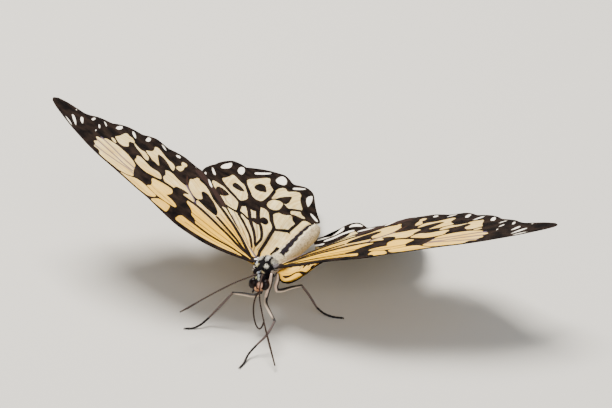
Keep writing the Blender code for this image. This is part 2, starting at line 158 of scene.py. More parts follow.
def wing_point(side, fore, a, b, lift):
    """Wing places in the room: the hinge, plus out and back in the wing plane,
    plus height and lift square to it. A left wing's height is one half wave of
    a sine along the wing, and its hindwing lies lower, sags and hangs."""
    seen = height_right(fore, a, b)
    out = a - SEEN_OUT * seen
    back = b - SEEN_BACK * seen
    height = seen
    if side > 0:
        height = LEFT_ARCH * np.sin(math.pi * np.clip(out / ARCH_LONG, 0.0, 1.0) ** ARCH_POWER)
        if not fore:
            sag = LEFT_SAG * np.exp(-((out - SAG_OUT) / SAG_WIDE) ** 2) * ease(out, *SAG_START)
            sag = sag * (1.0 - ease(back, *SAG_END))
            height = height - HIND_BELOW - root_drop(a) - sag - LEFT_HANG * np.maximum(back, 0.0)
    outward = side * math.cos(RAISED) * LEFTWARD + math.sin(RAISED) * BODY_UP
    square = -side * math.sin(RAISED) * LEFTWARD + math.cos(RAISED) * BODY_UP
    hinge = body_point(side * HINGE_OUT, HINGE_UP, 0.0)
    return hinge + out[:, None] * outward + back[:, None] * ALONG + (height + lift)[:, None] * square


# The wings' outlines: from the root along the front edge to the tip, and back
# along the rim and the inner margin.
FORE_EDGE = (
    (-0.3, -2.2), (1.6, -3.4), (4.0, -4.9), (6.0, -6.0), (8.5, -7.1), (11.5, -7.8),
    (15.0, -8.0), (18.5, -8.0), (22.0, -7.3), (25.5, -6.2), (29.0, -4.9), (33.0, -3.9),
    (37.0, -2.7), (41.0, -1.5), (45.0, -0.4), (49.0, 1.2), (52.5, 3.0), (56.0, 5.0),
    (59.5, 7.4), (62.5, 9.6), (64.6, 11.6), (65.2, 13.2), (64.4, 14.8), (62.0, 15.6),
    (59.2, 15.8), (57.0, 15.9), (55.6, 16.8), (54.2, 18.4), (52.6, 19.4), (50.6, 20.2),
    (49.4, 21.8), (47.6, 23.6), (45.6, 24.4), (43.4, 24.8), (42.0, 26.2), (40.2, 27.4),
    (38.2, 27.1), (36.2, 26.6), (34.2, 27.3), (31.8, 27.7), (29.6, 27.2), (27.6, 26.7),
    (25.6, 26.5), (23.6, 25.0), (20.6, 22.4), (17.6, 19.9), (14.8, 17.0), (12.0, 13.7),
    (9.0, 10.4), (6.0, 7.2), (3.0, 4.2), (-0.3, 1.4),
)
HIND_EDGE = (
    (-2.6, -2.2), (-0.8, -3.6), (1.6, -4.0), (4.4, -3.6), (6.8, -2.0), (9.2, 1.4),
    (12.8, 5.8), (16.6, 10.4), (20.2, 14.8), (23.0, 19.0), (24.8, 23.0), (25.4, 26.2),
    (25.8, 29.4), (25.6, 32.6), (25.0, 35.4), (24.7, 38.0), (23.9, 41.0), (22.8, 43.4),
    (21.0, 44.3), (19.0, 44.2), (17.8, 45.0), (16.8, 47.0), (15.4, 49.4), (14.2, 51.0),
    (12.6, 52.4), (11.2, 53.4), (9.6, 52.8), (8.4, 51.8), (7.6, 51.7), (6.4, 53.0),
    (5.0, 54.2), (3.6, 54.0), (2.4, 53.0), (1.2, 51.0), (0.2, 48.4), (-0.6, 45.6),
    (-1.4, 43.6), (-2.8, 42.9), (-4.2, 41.8), (-4.8, 40.4), (-4.2, 38.4), (-3.3, 35.6),
    (-3.1, 31.6), (-3.2, 26.0), (-3.6, 20.0), (-3.7, 14.0), (-3.5, 8.0), (-3.2, 3.0),
    (-2.8, 0.8),
)
# The right hindwing's front corner is cut back where the forewing hides it.
CORNER_RIGHT = ((-2.6, -1.6), (-0.8, -2.0), (1.6, -2.4), (4.4, -2.9), (6.8, -1.9))
HIND_EDGE_RIGHT = CORNER_RIGHT + HIND_EDGE[len(CORNER_RIGHT):]
# The left one's inner margin reaches farther in, under the body.
CORNER_LEFT = ((-3.9, -2.2),)
MARGIN_LEFT = ((-2.3, 26.0), (-3.2, 20.0), (-3.8, 14.0), (-4.0, 8.0), (-4.2, 3.0), (-4.2, 0.8))
HIND_EDGE_LEFT = CORNER_LEFT + HIND_EDGE[1:-len(MARGIN_LEFT)] + MARGIN_LEFT
# Which point of an outline ends the front edge, and which starts the rear one.
FORE_TIPS = (20, 22)
HIND_TIPS = (18, 36)

# Veins and folds: half width at the start and at the end, then the way.
FORE_LINES = (
    (0.34, 0.42, (1.4, -1.9), (3.0, -2.0), (6.0, -2.0), (8.0, -2.3), (10.0, -2.6), (12.0, -2.7), (14.0, -2.5),
     (16.0, -2.2), (18.0, -2.0), (20.0, -1.8)),
    (0.42, 0.58, (1.2, -0.6), (2.0, -0.2), (4.0, 0.4), (6.0, 1.3), (8.0, 2.4), (10.0, 3.3), (12.0, 4.1),
     (14.0, 5.0), (16.0, 5.8), (18.0, 6.5), (20.0, 7.0)),
    (0.54, 0.5, (20.0, 7.0), (22.0, 7.0), (24.0, 7.2), (26.0, 7.4), (28.0, 7.6), (30.0, 7.4), (32.0, 6.8),
     (34.0, 6.2)),
    (0.44, 0.5, (1.2, -0.6), (2.0, 0.6), (4.0, 3.0), (6.0, 5.4), (8.0, 7.5), (10.0, 9.5), (12.0, 11.2),
     (14.0, 12.9), (16.0, 14.4), (18.0, 16.0), (20.0, 18.4), (22.0, 20.2), (24.0, 21.0)),
    (0.34, 0.48, (3.0, 0.7), (5.0, 2.0), (6.0, 2.8), (8.0, 4.3), (10.0, 5.5), (12.0, 6.7), (14.0, 7.9)),
    (0.5, 0.5, (8.0, 9.6), (10.0, 11.4), (12.0, 13.6), (14.0, 15.6), (15.0, 16.6)),
)
FORE_FOLDS = (
    (0.1, 0.16, (3.0, -0.9), (6.0, -0.1), (8.0, 0.2), (12.0, 0.8), (16.0, 1.5), (19.0, 2.0)),
    (0.1, 0.1, (4.0, -3.0), (8.0, -3.7), (12.0, -4.2), (18.0, -4.2)),
    (0.08, 0.1, (5.0, -1.4), (9.0, -1.4), (13.0, -1.0), (17.0, -0.4)),
    (0.08, 0.08, (7.0, 3.2), (10.0, 4.6), (13.0, 5.9), (17.0, 7.5)),
    (0.08, 0.08, (5.0, 3.0), (8.0, 5.9), (11.0, 8.2), (14.0, 10.4)),
    (0.08, 0.08, (23.6, -0.4), (26.0, 0.4), (29.0, 1.2), (31.0, 2.0)),
    (0.08, 0.08, (23.0, 11.2), (25.6, 14.4), (27.2, 18.4)),
)
# Grey-violet lines, softer than the veins.
FORE_VEILS = (
    (0.3, 0.3, (0.4, 1.4), (2.0, 3.0), (4.0, 5.2), (6.0, 7.8), (8.0, 9.7)),
    (0.12, 0.16, (19.8, 7.0), (22.0, 9.8), (24.5, 12.5), (25.4, 13.6)),
    (0.12, 0.26, (36.2, 1.9), (38.5, 2.6), (41.0, 2.6), (45.5, 2.9), (48.0, 3.4)),
    (0.22, 0.24, (37.0, 3.0), (40.0, 3.7), (43.0, 4.8), (46.0, 5.7), (48.8, 6.6)),
    (0.22, 0.26, (37.3, 4.9), (40.0, 5.8), (43.0, 7.0), (46.0, 8.3), (48.8, 9.2)),
)
# The left forewing's front edge looks broad and black.
FRONT_LINES = (
    (0.8, 0.9, (0.6, -1.9), (4.0, -3.5), (8.0, -5.3), (12.0, -6.1), (18.0, -6.4), (24.0, -5.6)),
)
# A brown band in the black, along the rear edge.
FORE_BAND = ((14.0, 15.2), (18.0, 18.4), (22.0, 21.8), (26.0, 24.6))
# The hindwings' veins, folds and softer lines, in the same form.
HIND_LINES = (
    (0.3, 0.42, (-1.2, 0.0), (-0.8, 4.0), (-0.2, 6.0), (0.2, 9.0), (0.6, 12.0)),
    (0.38, 0.5, (0.6, 12.0), (1.1, 15.0), (1.6, 18.0), (1.9, 20.0), (2.4, 22.0), (4.0, 24.5), (5.5, 27.8),
     (6.5, 28.8), (9.0, 29.6)),
    (0.22, 0.4, (1.8, 7.0), (2.0, 9.5), (2.2, 12.0), (3.0, 14.5), (3.8, 16.4), (4.6, 18.0), (5.4, 19.3)),
    (0.5, 0.5, (6.2, 20.0), (7.0, 22.0), (8.0, 24.5), (9.2, 28.0)),
    (0.24, 0.48, (2.2, 7.6), (3.0, 9.6), (4.0, 11.8), (5.4, 14.4), (6.6, 16.2), (7.6, 18.0)),
    (0.4, 0.6, (7.6, 18.0), (8.4, 19.5), (9.4, 21.6), (10.4, 23.4), (11.0, 24.6), (11.2, 28.0)),
    (0.24, 0.4, (2.2, 5.4), (3.4, 7.8), (4.4, 9.8), (6.0, 12.0), (7.6, 14.0), (9.2, 15.8), (10.4, 17.0),
     (11.0, 18.4)),
    (0.38, 0.34, (11.0, 18.4), (11.6, 19.4), (12.0, 21.0), (12.6, 23.0), (13.6, 24.0), (15.6, 25.6),
     (19.0, 27.0), (22.0, 29.0), (24.6, 32.0)),
    (0.4, 0.4, (8.2, 17.8), (10.0, 18.7), (11.4, 19.0)),
    (0.42, 0.4, (11.0, 17.9), (13.0, 17.6), (14.5, 17.7)),
    (0.3, 0.3, (1.9, 20.8), (0.6, 22.6), (-0.9, 25.0), (-1.0, 28.0), (-1.0, 32.0), (-0.8, 35.6)),
    (0.45, 0.4, (5.6, 28.2), (5.4, 30.0), (4.6, 32.5), (4.0, 34.5), (3.0, 37.0), (1.0, 39.8)),
    (0.45, 0.35, (9.0, 29.6), (9.0, 33.0), (9.2, 37.0), (9.6, 41.0)),
    (0.45, 0.35, (12.0, 29.4), (13.4, 31.4), (14.8, 33.6), (16.0, 35.4), (17.6, 38.0)),
    (0.9, 0.8, (9.6, 24.6), (10.6, 27.4), (12.2, 29.6)),
    (0.34, 0.4, (-2.8, 8.4), (-2.8, 11.0), (-2.6, 13.6)),
)
# The left hindwing's front corner shows a looped vein, a short one and a dark
# border.
CORNER_LINES = (
    (0.22, 0.56, (-2.3, 0.2), (-1.6, 2.4), (-0.6, 4.4), (0.6, 4.8), (1.8, 4.4), (3.1, 3.0), (4.3, 1.2),
     (5.0, 0.0)),
    (0.5, 0.4, (5.0, -1.6), (5.5, 0.6), (5.4, 2.8), (4.7, 5.6)),
    (0.34, 0.3, (-4.0, -2.2), (-2.4, -2.7), (-0.8, -3.4), (1.6, -3.75), (4.4, -3.35), (6.7, -1.8),
     (9.0, 1.5), (12.6, 5.9)),
)
# Two of its veins start farther back. On the right they are the first and the
# seventh line.
HIND_LINES_LEFT = (
    (0.34, 0.42, (0.15, 8.8), (0.4, 10.4), (0.6, 12.0)),
    (0.26, 0.4, (3.2, 7.4), (4.4, 9.8), (6.0, 12.0), (7.6, 14.0), (9.2, 15.8), (10.4, 17.0), (11.0, 18.4)),
) + HIND_LINES[1:6] + HIND_LINES[7:] + CORNER_LINES
HIND_FOLDS = (
    (0.1, 0.14, (0.3, 1.0), (1.0, 4.0), (1.8, 7.0)),
    (0.1, 0.16, (0.5, 0.8), (1.4, 3.4), (2.2, 5.4)),
    (0.08, 0.08, (13.6, 19.0), (16.0, 20.6), (19.4, 25.0)),
    (0.08, 0.08, (3.4, 6.0), (6.0, 9.6), (9.4, 14.0), (12.0, 17.2)),
    (0.08, 0.08, (1.9, 32.4), (1.2, 35.0)),
    (0.06, 0.08, (0.6, 6.0), (1.3, 12.0), (2.2, 18.0)),
    (0.06, 0.08, (3.0, 11.6), (4.6, 15.4), (6.2, 18.6)),
)
# The left hindwing doesn't show the two folds next to the root.
HIND_FOLDS_LEFT = HIND_FOLDS[2:]
HIND_VEILS = (
    (0.12, 0.12, (5.2, 6.6), (8.4, 10.6), (11.6, 14.6)),
)

# Pale patches of the forewings.
FORE_PALE = (
    ((2.5, -2.6), (4.0, -3.3), (6.0, -4.3), (8.0, -5.0), (10.0, -5.5), (12.0, -5.8), (14.0, -6.0),
     (18.0, -6.1), (20.4, -6.0), (20.4, -2.2), (18.0, -2.3), (16.0, -2.6), (14.0, -2.9), (12.0, -3.0),
     (10.0, -2.9), (8.0, -2.6), (6.0, -2.3), (4.0, -2.3)),
    ((23.2, -5.8), (25.5, -5.4), (28.0, -4.8), (28.2, -4.0), (27.6, -2.8), (27.0, -1.7), (24.5, -1.6),
     (23.8, -1.8), (23.3, -4.0)),
    ((28.6, -3.3), (29.5, -3.9), (32.0, -3.6), (35.0, -2.7), (38.0, -1.7), (38.6, -1.4), (37.0, -1.0),
     (35.8, -0.3), (34.8, 0.5), (33.2, 0.6), (31.6, 0.1), (30.0, -0.6), (28.2, -1.1), (28.0, -2.0)),
    ((0.8, -1.9), (5.0, -2.1), (8.0, -2.3), (12.0, -2.6), (16.0, -2.2), (17.2, 0.0), (18.8, 0.8),
     (19.2, 2.4), (20.4, 3.9), (21.8, 5.0), (22.2, 6.3), (22.0, 6.9), (19.5, 7.2), (18.0, 6.8),
     (16.0, 6.0), (14.0, 5.2), (12.0, 4.4), (10.0, 3.5), (8.0, 2.6), (6.0, 1.7), (4.0, 0.7), (1.0, -0.5)),
    ((0.6, -0.4), (4.0, 0.8), (6.0, 1.8), (8.0, 2.7), (10.0, 3.6), (12.0, 4.5), (14.0, 5.3), (16.0, 6.1),
     (18.0, 6.9), (19.5, 7.3), (20.3, 8.2), (20.8, 9.4), (20.5, 9.9), (18.0, 8.8), (16.0, 8.2),
     (14.4, 8.2), (14.9, 10.4), (15.8, 12.0), (17.0, 13.4), (18.5, 15.0), (20.2, 16.4), (21.0, 18.2),
     (19.5, 17.2), (18.0, 15.7), (16.0, 14.1), (14.0, 12.6), (12.0, 10.9), (10.0, 9.4), (8.0, 7.3),
     (6.0, 5.1), (4.0, 2.6), (1.4, 0.2)),
    ((0.8, 0.4), (2.0, 0.7), (4.0, 3.0), (6.0, 5.5), (8.0, 7.7), (10.0, 9.8), (12.0, 11.3), (14.0, 13.0),
     (15.5, 14.3), (15.2, 15.2), (14.0, 15.2), (12.0, 13.2), (10.0, 11.1), (8.0, 8.9), (5.0, 5.9),
     (3.0, 3.9), (0.2, 1.2)),
    ((22.8, -0.9), (25.0, -1.2), (27.0, -1.1), (28.6, -0.7), (30.5, 0.0), (31.8, 0.6), (31.0, 2.0),
     (31.4, 3.6), (32.2, 5.0), (32.3, 6.0), (31.0, 6.5), (30.0, 7.0), (27.0, 7.0), (26.4, 6.0),
     (26.1, 4.6), (26.4, 3.2), (26.8, 2.2), (25.0, 1.8), (23.6, 0.9), (22.7, 0.0)),
    ((35.6, 0.6), (36.8, -0.4), (39.0, -1.0), (41.0, -0.6), (44.0, 0.0), (45.6, 0.6), (46.0, 1.6),
     (46.6, 2.4), (48.2, 2.6), (48.2, 4.0), (49.3, 5.0), (48.6, 6.3), (50.1, 8.0), (48.2, 8.8),
     (48.0, 10.3), (46.2, 10.5), (44.0, 10.4), (41.0, 9.4), (39.0, 8.0), (37.6, 6.6), (37.3, 5.0),
     (36.8, 3.4), (36.2, 1.9)),
    ((45.3, 11.0), (46.4, 11.2), (47.4, 12.2), (47.0, 12.9), (46.0, 12.2)),
    ((30.6, 8.2), (33.0, 7.0), (35.5, 6.9), (37.6, 7.8), (39.0, 9.0), (39.0, 10.5), (39.6, 12.0),
     (38.6, 12.5), (37.0, 11.7), (35.0, 10.6), (33.5, 10.7), (32.6, 10.9), (31.5, 9.9)),
    ((36.7, 12.8), (37.8, 13.0), (39.4, 14.4), (41.0, 15.4), (42.4, 16.7), (42.9, 17.6), (41.5, 16.6),
     (40.0, 16.0), (39.2, 16.5), (38.0, 15.6), (37.2, 14.8)),
    ((43.7, 12.0), (45.0, 12.2), (46.2, 13.2), (47.1, 14.2), (46.6, 15.6), (46.4, 17.0), (46.3, 19.0),
     (46.0, 19.8), (45.0, 19.2), (44.0, 19.2), (43.0, 18.2), (42.7, 17.2), (43.6, 16.8), (43.8, 15.8),
     (43.2, 14.6), (42.8, 13.6)),
    ((33.8, 14.0), (35.0, 14.6), (36.4, 14.9), (37.4, 16.0), (38.4, 16.6), (39.3, 17.6), (38.6, 18.3),
     (38.0, 19.5), (38.2, 21.0), (38.7, 22.6), (37.8, 23.0), (36.6, 22.2), (35.0, 21.0), (33.6, 20.2),
     (32.2, 20.0), (31.2, 19.0), (30.8, 17.6), (30.5, 16.2), (31.3, 16.6), (32.6, 18.0), (34.0, 19.3),
     (35.4, 19.9), (36.6, 20.0), (36.4, 19.0), (35.6, 17.4), (34.6, 15.6)),
    ((21.0, 7.5), (23.8, 7.5), (24.2, 8.6), (23.2, 9.6), (23.4, 10.3), (25.0, 10.4), (26.6, 9.8),
     (27.0, 9.2), (27.0, 8.0), (29.6, 8.1), (30.6, 9.4), (31.0, 10.6), (30.8, 11.6), (31.4, 13.0),
     (32.0, 14.0), (31.6, 14.5), (31.0, 14.9), (29.6, 14.6), (28.4, 13.8), (26.8, 13.2), (25.4, 13.1),
     (24.2, 11.8), (22.4, 10.2), (20.9, 8.8)),
    ((20.9, 10.2), (22.5, 11.0), (24.0, 12.6), (25.0, 14.0), (25.6, 16.0), (26.2, 18.0), (25.6, 18.8),
     (25.4, 20.5), (25.2, 21.4), (23.6, 20.8), (22.2, 20.4), (20.8, 19.0), (19.4, 17.6), (18.0, 16.2),
     (19.6, 16.3), (21.4, 16.4), (21.8, 15.2), (21.0, 13.8), (20.2, 12.2), (20.0, 11.2)),
    ((29.3, 18.4), (30.6, 18.6), (31.0, 19.8), (30.5, 21.0), (30.2, 21.9), (30.9, 23.0), (31.0, 24.2),
     (29.9, 24.5), (29.3, 23.4), (29.6, 21.8), (29.2, 20.4)),
)
# Dark blots, which are taken out of the pale patches.
FORE_DARK = (
    ((14.4, 8.2), (16.0, 8.2), (18.0, 8.7), (20.4, 10.0), (20.8, 10.8), (20.2, 11.6), (20.3, 12.6),
     (21.0, 14.0), (21.6, 15.2), (21.2, 16.2), (20.2, 16.2), (18.6, 15.2), (17.0, 13.6), (16.0, 12.0),
     (15.0, 10.2)),
)
# White spots in the dark border.
FORE_SPOTS = (
    ((40.6, 22.6), (41.6, 22.2), (42.0, 23.6), (42.0, 25.2), (41.2, 25.7), (40.6, 24.4)),
    ((47.9, 18.6), (49.0, 18.3), (49.2, 20.2), (48.6, 22.0), (47.8, 21.6), (47.6, 20.0)),
    ((53.8, 14.6), (54.6, 14.6), (54.8, 16.0), (54.4, 17.2), (53.8, 16.6)),
    ((35.6, 23.8), (36.6, 24.2), (37.8, 25.2), (38.6, 26.4), (37.4, 26.0), (36.2, 25.0)),
    ((43.0, 19.6), (44.2, 20.2), (45.4, 21.6), (46.0, 23.4), (44.8, 22.8), (43.8, 21.4)),
    ((50.2, 15.8), (50.9, 16.2), (52.0, 17.5), (52.6, 18.6), (51.6, 18.2), (50.6, 17.0)),
    ((32.0, 24.9), (33.0, 24.5), (33.8, 25.4), (33.2, 26.4), (32.2, 26.2)),
    ((27.3, 25.7), (28.1, 25.8), (28.0, 26.3), (27.4, 26.2)),
    ((54.4, 9.4), (55.3, 9.8), (56.4, 11.2), (56.8, 12.9), (56.0, 13.1), (55.3, 11.8)),
    ((54.8, 6.1), (55.9, 7.0), (57.6, 9.0), (58.8, 11.0), (58.0, 11.4), (56.4, 9.4)),
    ((55.3, 5.0), (57.0, 6.0), (58.8, 7.4), (59.5, 8.4), (58.2, 7.8), (56.6, 6.6)),
    ((58.5, 14.1), (59.1, 14.0), (59.3, 15.2), (58.8, 15.4)),
    ((50.9, 10.2), (51.5, 10.1), (51.7, 11.4), (51.2, 11.8)),
    ((50.9, 12.8), (51.5, 12.8), (52.4, 14.4), (52.3, 15.4), (51.5, 14.6)),
    ((20.5, 20.6), (21.8, 21.4), (23.0, 23.2), (23.8, 25.0), (22.4, 24.0), (21.0, 22.0)),
)
# Pale patches, dark blots and white spots of the hindwings.
HIND_PALE = (
    ((-4.8, 2.5), (-4.6, 0.0), (-1.0, 0.0), (1.0, -0.5), (3.2, 1.0), (6.0, 3.0), (8.4, 5.0),
     (10.4, 7.0), (13.6, 11.0), (17.0, 15.4), (16.6, 17.0), (14.8, 17.3), (12.4, 17.3), (11.0, 17.5),
     (11.6, 19.0), (11.9, 20.6), (11.9, 22.0), (11.2, 23.6), (10.7, 25.4), (10.4, 26.6), (9.9, 27.4),
     (8.5, 28.0), (7.6, 28.6), (6.4, 28.0), (5.6, 26.6), (4.6, 24.0), (2.9, 22.4), (1.9, 20.4),
     (0.8, 21.8), (-0.4, 23.6), (-1.3, 24.6), (-3.8, 24.0), (-4.4, 20.0), (-4.8, 14.0)),
    ((-4.0, -1.4), (-2.4, -2.4), (-0.6, -3.1), (1.6, -3.5), (4.2, -3.1), (6.2, -1.6), (8.4, 1.4), (10.4, 4.2),
     (9.4, 5.4), (7.0, 3.4), (4.0, 2.0), (1.0, 0.8), (-1.4, 0.2), (-4.2, 0.2)),
    ((11.9, 18.6), (13.0, 18.2), (15.4, 18.2), (16.6, 19.4), (18.0, 20.6), (19.4, 22.0), (20.6, 23.6),
     (21.6, 24.8), (21.8, 26.2), (20.4, 26.4), (18.8, 26.4), (17.0, 25.4), (15.0, 24.4), (13.4, 23.5),
     (12.7, 21.5), (12.2, 19.8)),
    ((13.2, 24.8), (14.6, 25.4), (16.6, 26.8), (18.6, 28.0), (20.2, 29.2), (20.8, 30.2), (20.3, 31.6),
     (20.0, 33.4), (19.9, 35.7), (18.8, 35.4), (17.4, 34.5), (16.0, 34.3), (15.0, 33.0), (13.8, 31.0),
     (12.6, 29.0), (12.5, 27.4), (12.8, 25.8)),
    ((9.9, 31.0), (11.0, 30.6), (12.2, 31.0), (13.2, 32.6), (14.4, 34.0), (15.6, 35.8), (16.4, 37.4),
     (16.2, 39.0), (15.2, 41.2), (14.6, 43.0), (13.8, 45.2), (13.0, 46.3), (12.6, 45.4), (12.1, 43.6),
     (11.2, 42.2), (10.2, 41.6), (9.9, 40.0), (9.6, 36.0), (9.5, 33.0)),
    ((6.0, 30.8), (7.0, 30.3), (8.0, 31.0), (8.4, 33.0), (8.3, 35.0), (8.0, 36.4), (7.2, 37.0),
     (6.6, 37.6), (5.6, 37.3), (5.3, 35.5), (5.1, 33.0), (5.4, 31.8)),
    ((1.0, 40.4), (2.0, 38.8), (3.0, 37.2), (4.0, 36.7), (5.0, 37.4), (6.6, 38.0), (7.8, 38.0),
     (8.2, 36.8), (8.6, 36.2), (9.1, 38.0), (9.5, 41.0), (9.4, 43.6), (9.0, 45.4), (8.3, 46.3),
     (7.6, 45.4), (7.1, 45.4), (6.6, 46.6), (5.8, 48.2), (5.1, 48.8), (4.3, 48.0), (3.9, 46.0),
     (3.2, 44.2), (2.2, 42.4), (1.3, 41.4)),
    ((1.9, 22.2), (2.4, 22.8), (3.6, 25.0), (4.8, 27.2), (5.3, 28.6), (5.2, 30.0), (4.8, 31.2),
     (3.6, 31.4), (2.8, 32.2), (2.2, 33.4), (1.6, 34.0), (1.0, 32.6), (0.4, 31.8), (-0.6, 31.6),
     (-0.9, 29.0), (-0.9, 26.4), (0.0, 25.4), (1.0, 23.6)),
    ((-4.6, 23.0), (-1.6, 24.6), (-1.5, 28.0), (-1.5, 32.0), (-1.4, 36.4), (-4.6, 37.0)),
    ((-0.8, 36.6), (0.4, 36.0), (1.6, 35.2), (2.2, 34.4), (2.8, 35.6), (2.8, 36.8), (1.8, 38.2),
     (0.9, 39.2), (0.4, 38.4), (-0.2, 37.9), (-1.2, 37.9), (-1.4, 37.2)),
)
HIND_DARK = (
    ((16.2, 22.8), (16.9, 21.3), (17.9, 20.8), (18.9, 21.3), (19.7, 22.8), (19.9, 24.4), (18.9, 25.3),
     (17.5, 25.0), (16.2, 24.4)),
    ((14.4, 30.6), (15.0, 29.6), (16.4, 29.2), (17.4, 29.2), (18.0, 30.6), (17.9, 32.3), (17.0, 32.6),
     (15.6, 32.0), (14.7, 31.4)),
    ((10.6, 37.6), (11.4, 36.6), (12.0, 35.7), (13.2, 35.4), (13.9, 36.2), (14.0, 38.0), (13.8, 39.6),
     (13.2, 40.8), (12.2, 40.8), (11.6, 39.8), (11.0, 38.6)),
    ((4.9, 38.4), (5.0, 37.6), (7.8, 37.4), (7.6, 39.0), (7.0, 41.0), (6.4, 42.6), (5.7, 43.9),
     (5.3, 43.6), (5.1, 42.0), (4.8, 40.0)),
    ((-1.0, 32.0), (0.2, 32.0), (0.8, 32.6), (1.0, 33.6), (1.6, 34.4), (1.0, 35.2), (0.2, 36.0),
     (-0.6, 36.3), (-1.1, 35.6)),
    ((2.2, 33.4), (3.0, 32.0), (3.6, 31.5), (4.9, 31.5), (5.1, 33.4), (5.1, 35.0), (4.8, 36.6),
     (3.6, 36.6), (3.0, 35.6), (2.6, 34.4)),
    ((4.9, 18.6), (6.4, 17.9), (8.0, 18.8), (7.8, 20.7), (6.2, 21.2), (5.1, 19.8)),
    ((4.1, 20.5), (5.4, 20.1), (6.5, 21.3), (6.4, 24.0), (5.0, 24.3), (4.1, 22.6)),
)
HIND_SPOTS = (
    ((-4.4, 39.8), (-3.6, 39.6), (-2.2, 40.6), (-1.2, 41.6), (-1.1, 42.3), (-2.0, 42.3), (-3.2, 41.6),
     (-4.2, 40.7)),
    ((0.4, 44.0), (0.5, 45.5), (0.8, 48.0), (1.6, 50.6), (2.2, 52.0), (2.7, 51.0), (3.0, 49.6),
     (2.9, 47.8), (2.2, 46.0), (1.2, 44.6)),
    ((7.2, 48.2), (7.3, 49.4), (6.8, 50.6), (5.8, 52.2), (4.8, 53.5), (4.5, 53.0), (4.9, 51.8),
     (5.7, 50.0), (6.6, 48.4)),
    ((10.8, 46.1), (11.8, 47.0), (12.0, 48.6), (11.9, 50.6), (11.5, 52.0), (10.6, 52.2), (9.6, 51.2),
     (9.1, 49.6), (8.9, 48.0), (9.5, 46.9)),
    ((16.8, 43.6), (16.9, 44.6), (15.8, 46.6), (14.8, 48.6), (14.0, 50.1), (13.6, 49.7), (14.0, 48.0),
     (14.8, 46.0), (15.8, 44.0), (16.4, 43.1)),
    ((18.3, 38.6), (19.2, 38.1), (20.0, 39.0), (20.5, 41.0), (20.4, 42.6), (19.7, 43.3), (18.9, 42.6),
     (18.4, 41.0), (18.2, 39.5)),
    ((23.3, 34.9), (23.8, 36.0), (23.7, 38.0), (23.2, 40.4), (22.6, 41.9), (22.1, 41.0), (21.6, 39.2),
     (21.7, 37.6), (22.5, 35.6)),
    ((22.3, 29.1), (23.2, 29.3), (24.4, 31.0), (24.9, 32.4), (24.7, 33.0), (23.8, 32.0), (22.6, 30.4)),
    ((24.1, 26.2), (24.8, 26.4), (25.0, 27.4), (24.9, 28.6), (24.4, 27.9), (24.0, 27.0)),
)
# Long white streaks take the place of the left hindwing's three rearmost spots.
HIND_SPOTS_LEFT = (
    ((-4.5, 36.4), (-3.0, 37.2), (-1.5, 38.7), (-1.9, 39.6), (-3.2, 38.5), (-4.5, 37.8)),
    ((-4.2, 39.9), (-3.0, 40.9), (-1.6, 42.6), (-0.2, 44.6), (1.0, 46.6), (1.9, 48.4), (2.1, 49.6),
     (1.6, 50.9), (0.9, 50.4), (0.3, 48.2), (-0.4, 45.8), (-1.3, 43.5), (-2.8, 42.6), (-4.2, 41.4)),
    ((-2.3, 39.6), (-0.6, 41.6), (1.0, 43.8), (2.4, 46.2), (3.8, 47.8), (5.2, 49.2), (4.6, 50.0),
     (3.2, 49.0), (1.9, 47.2), (0.5, 45.0), (-0.9, 42.9), (-2.5, 40.9)),
    ((2.7, 50.5), (3.6, 51.2), (4.9, 51.7), (6.2, 51.8), (6.6, 52.4), (5.3, 53.5), (4.2, 53.6), (3.0, 52.6)),
    ((5.4, 48.0), (6.6, 48.9), (7.8, 50.0), (9.0, 50.8), (10.4, 51.6), (11.6, 52.1), (11.4, 52.9),
     (9.8, 52.4), (8.4, 51.5), (7.0, 50.6), (5.6, 49.2)),
) + HIND_SPOTS[3:]

# Distances to lines and shapes are worked out up to this far.
FAR = 4.0
# How finely curves are cut up: a patch's edge, the rim, and a mark's way.
EDGE_STEP = 0.2
RIM_STEP = 0.5
MARK_STEP = 0.6


def flow(line, closed, step):
    """A smooth curve through every point: each piece is the cubic whose slopes
    at its ends are half the way between the neighbouring points."""
    p = np.array(line, float)
    n = len(p)
    pieces = []
    for i in range(n if closed else n - 1):
        p1, p2 = p[i], p[(i + 1) % n]
        p0 = p[i - 1] if closed or i > 0 else p1
        p3 = p[(i + 2) % n] if closed or i < n - 2 else p2
        parts = max(2, int(round(np.linalg.norm(p2 - p1) / step)))
        t = (np.arange(parts) / parts)[:, None]
        pieces.append(0.5 * (2 * p1 + (p2 - p0) * t + (2 * p0 - 5 * p1 + 4 * p2 - p3) * t ** 2
                             + (3 * p1 - p0 - 3 * p2 + p3) * t ** 3))
    if not closed:
        pieces.append(p[-1:])
    return np.concatenate(pieces)


def soften(shape):
    """The outline of a shape with its corners cut twice, by a fifth of each
    side."""
    p = np.array(shape, float)
    for _ in range(2):
        q = np.roll(p, -1, axis=0)
        p = np.stack([0.8 * p + 0.2 * q, 0.2 * p + 0.8 * q], 1).reshape(-1, 2)
    return p


def line_distance(x, y, line, start, end):
    """Distance from places to the nearest straight piece of an open line, less
    the line's half width there, which runs evenly from start to end."""
    best = np.full(len(x), FAR)
    size = np.linalg.norm(np.diff(line, axis=0), axis=1)
    run = np.concatenate([[0.0], np.cumsum(size)]) / size.sum()
    for i in range(len(line) - 1):
        (x0, y0), (x1, y1) = line[i], line[i + 1]
        near = ((x > min(x0, x1) - FAR) & (x < max(x0, x1) + FAR)
                & (y > min(y0, y1) - FAR) & (y < max(y0, y1) + FAR))
        dx, dy = x1 - x0, y1 - y0
        f = np.clip(((x[near] - x0) * dx + (y[near] - y0) * dy) / (dx * dx + dy * dy), 0.0, 1.0)
        d = np.hypot(x[near] - x0 - f * dx, y[near] - y0 - f * dy)
        d = d - (start + (end - start) * (run[i] + f * (run[i + 1] - run[i])))
        best[near] = np.minimum(best[near], d)
    return best


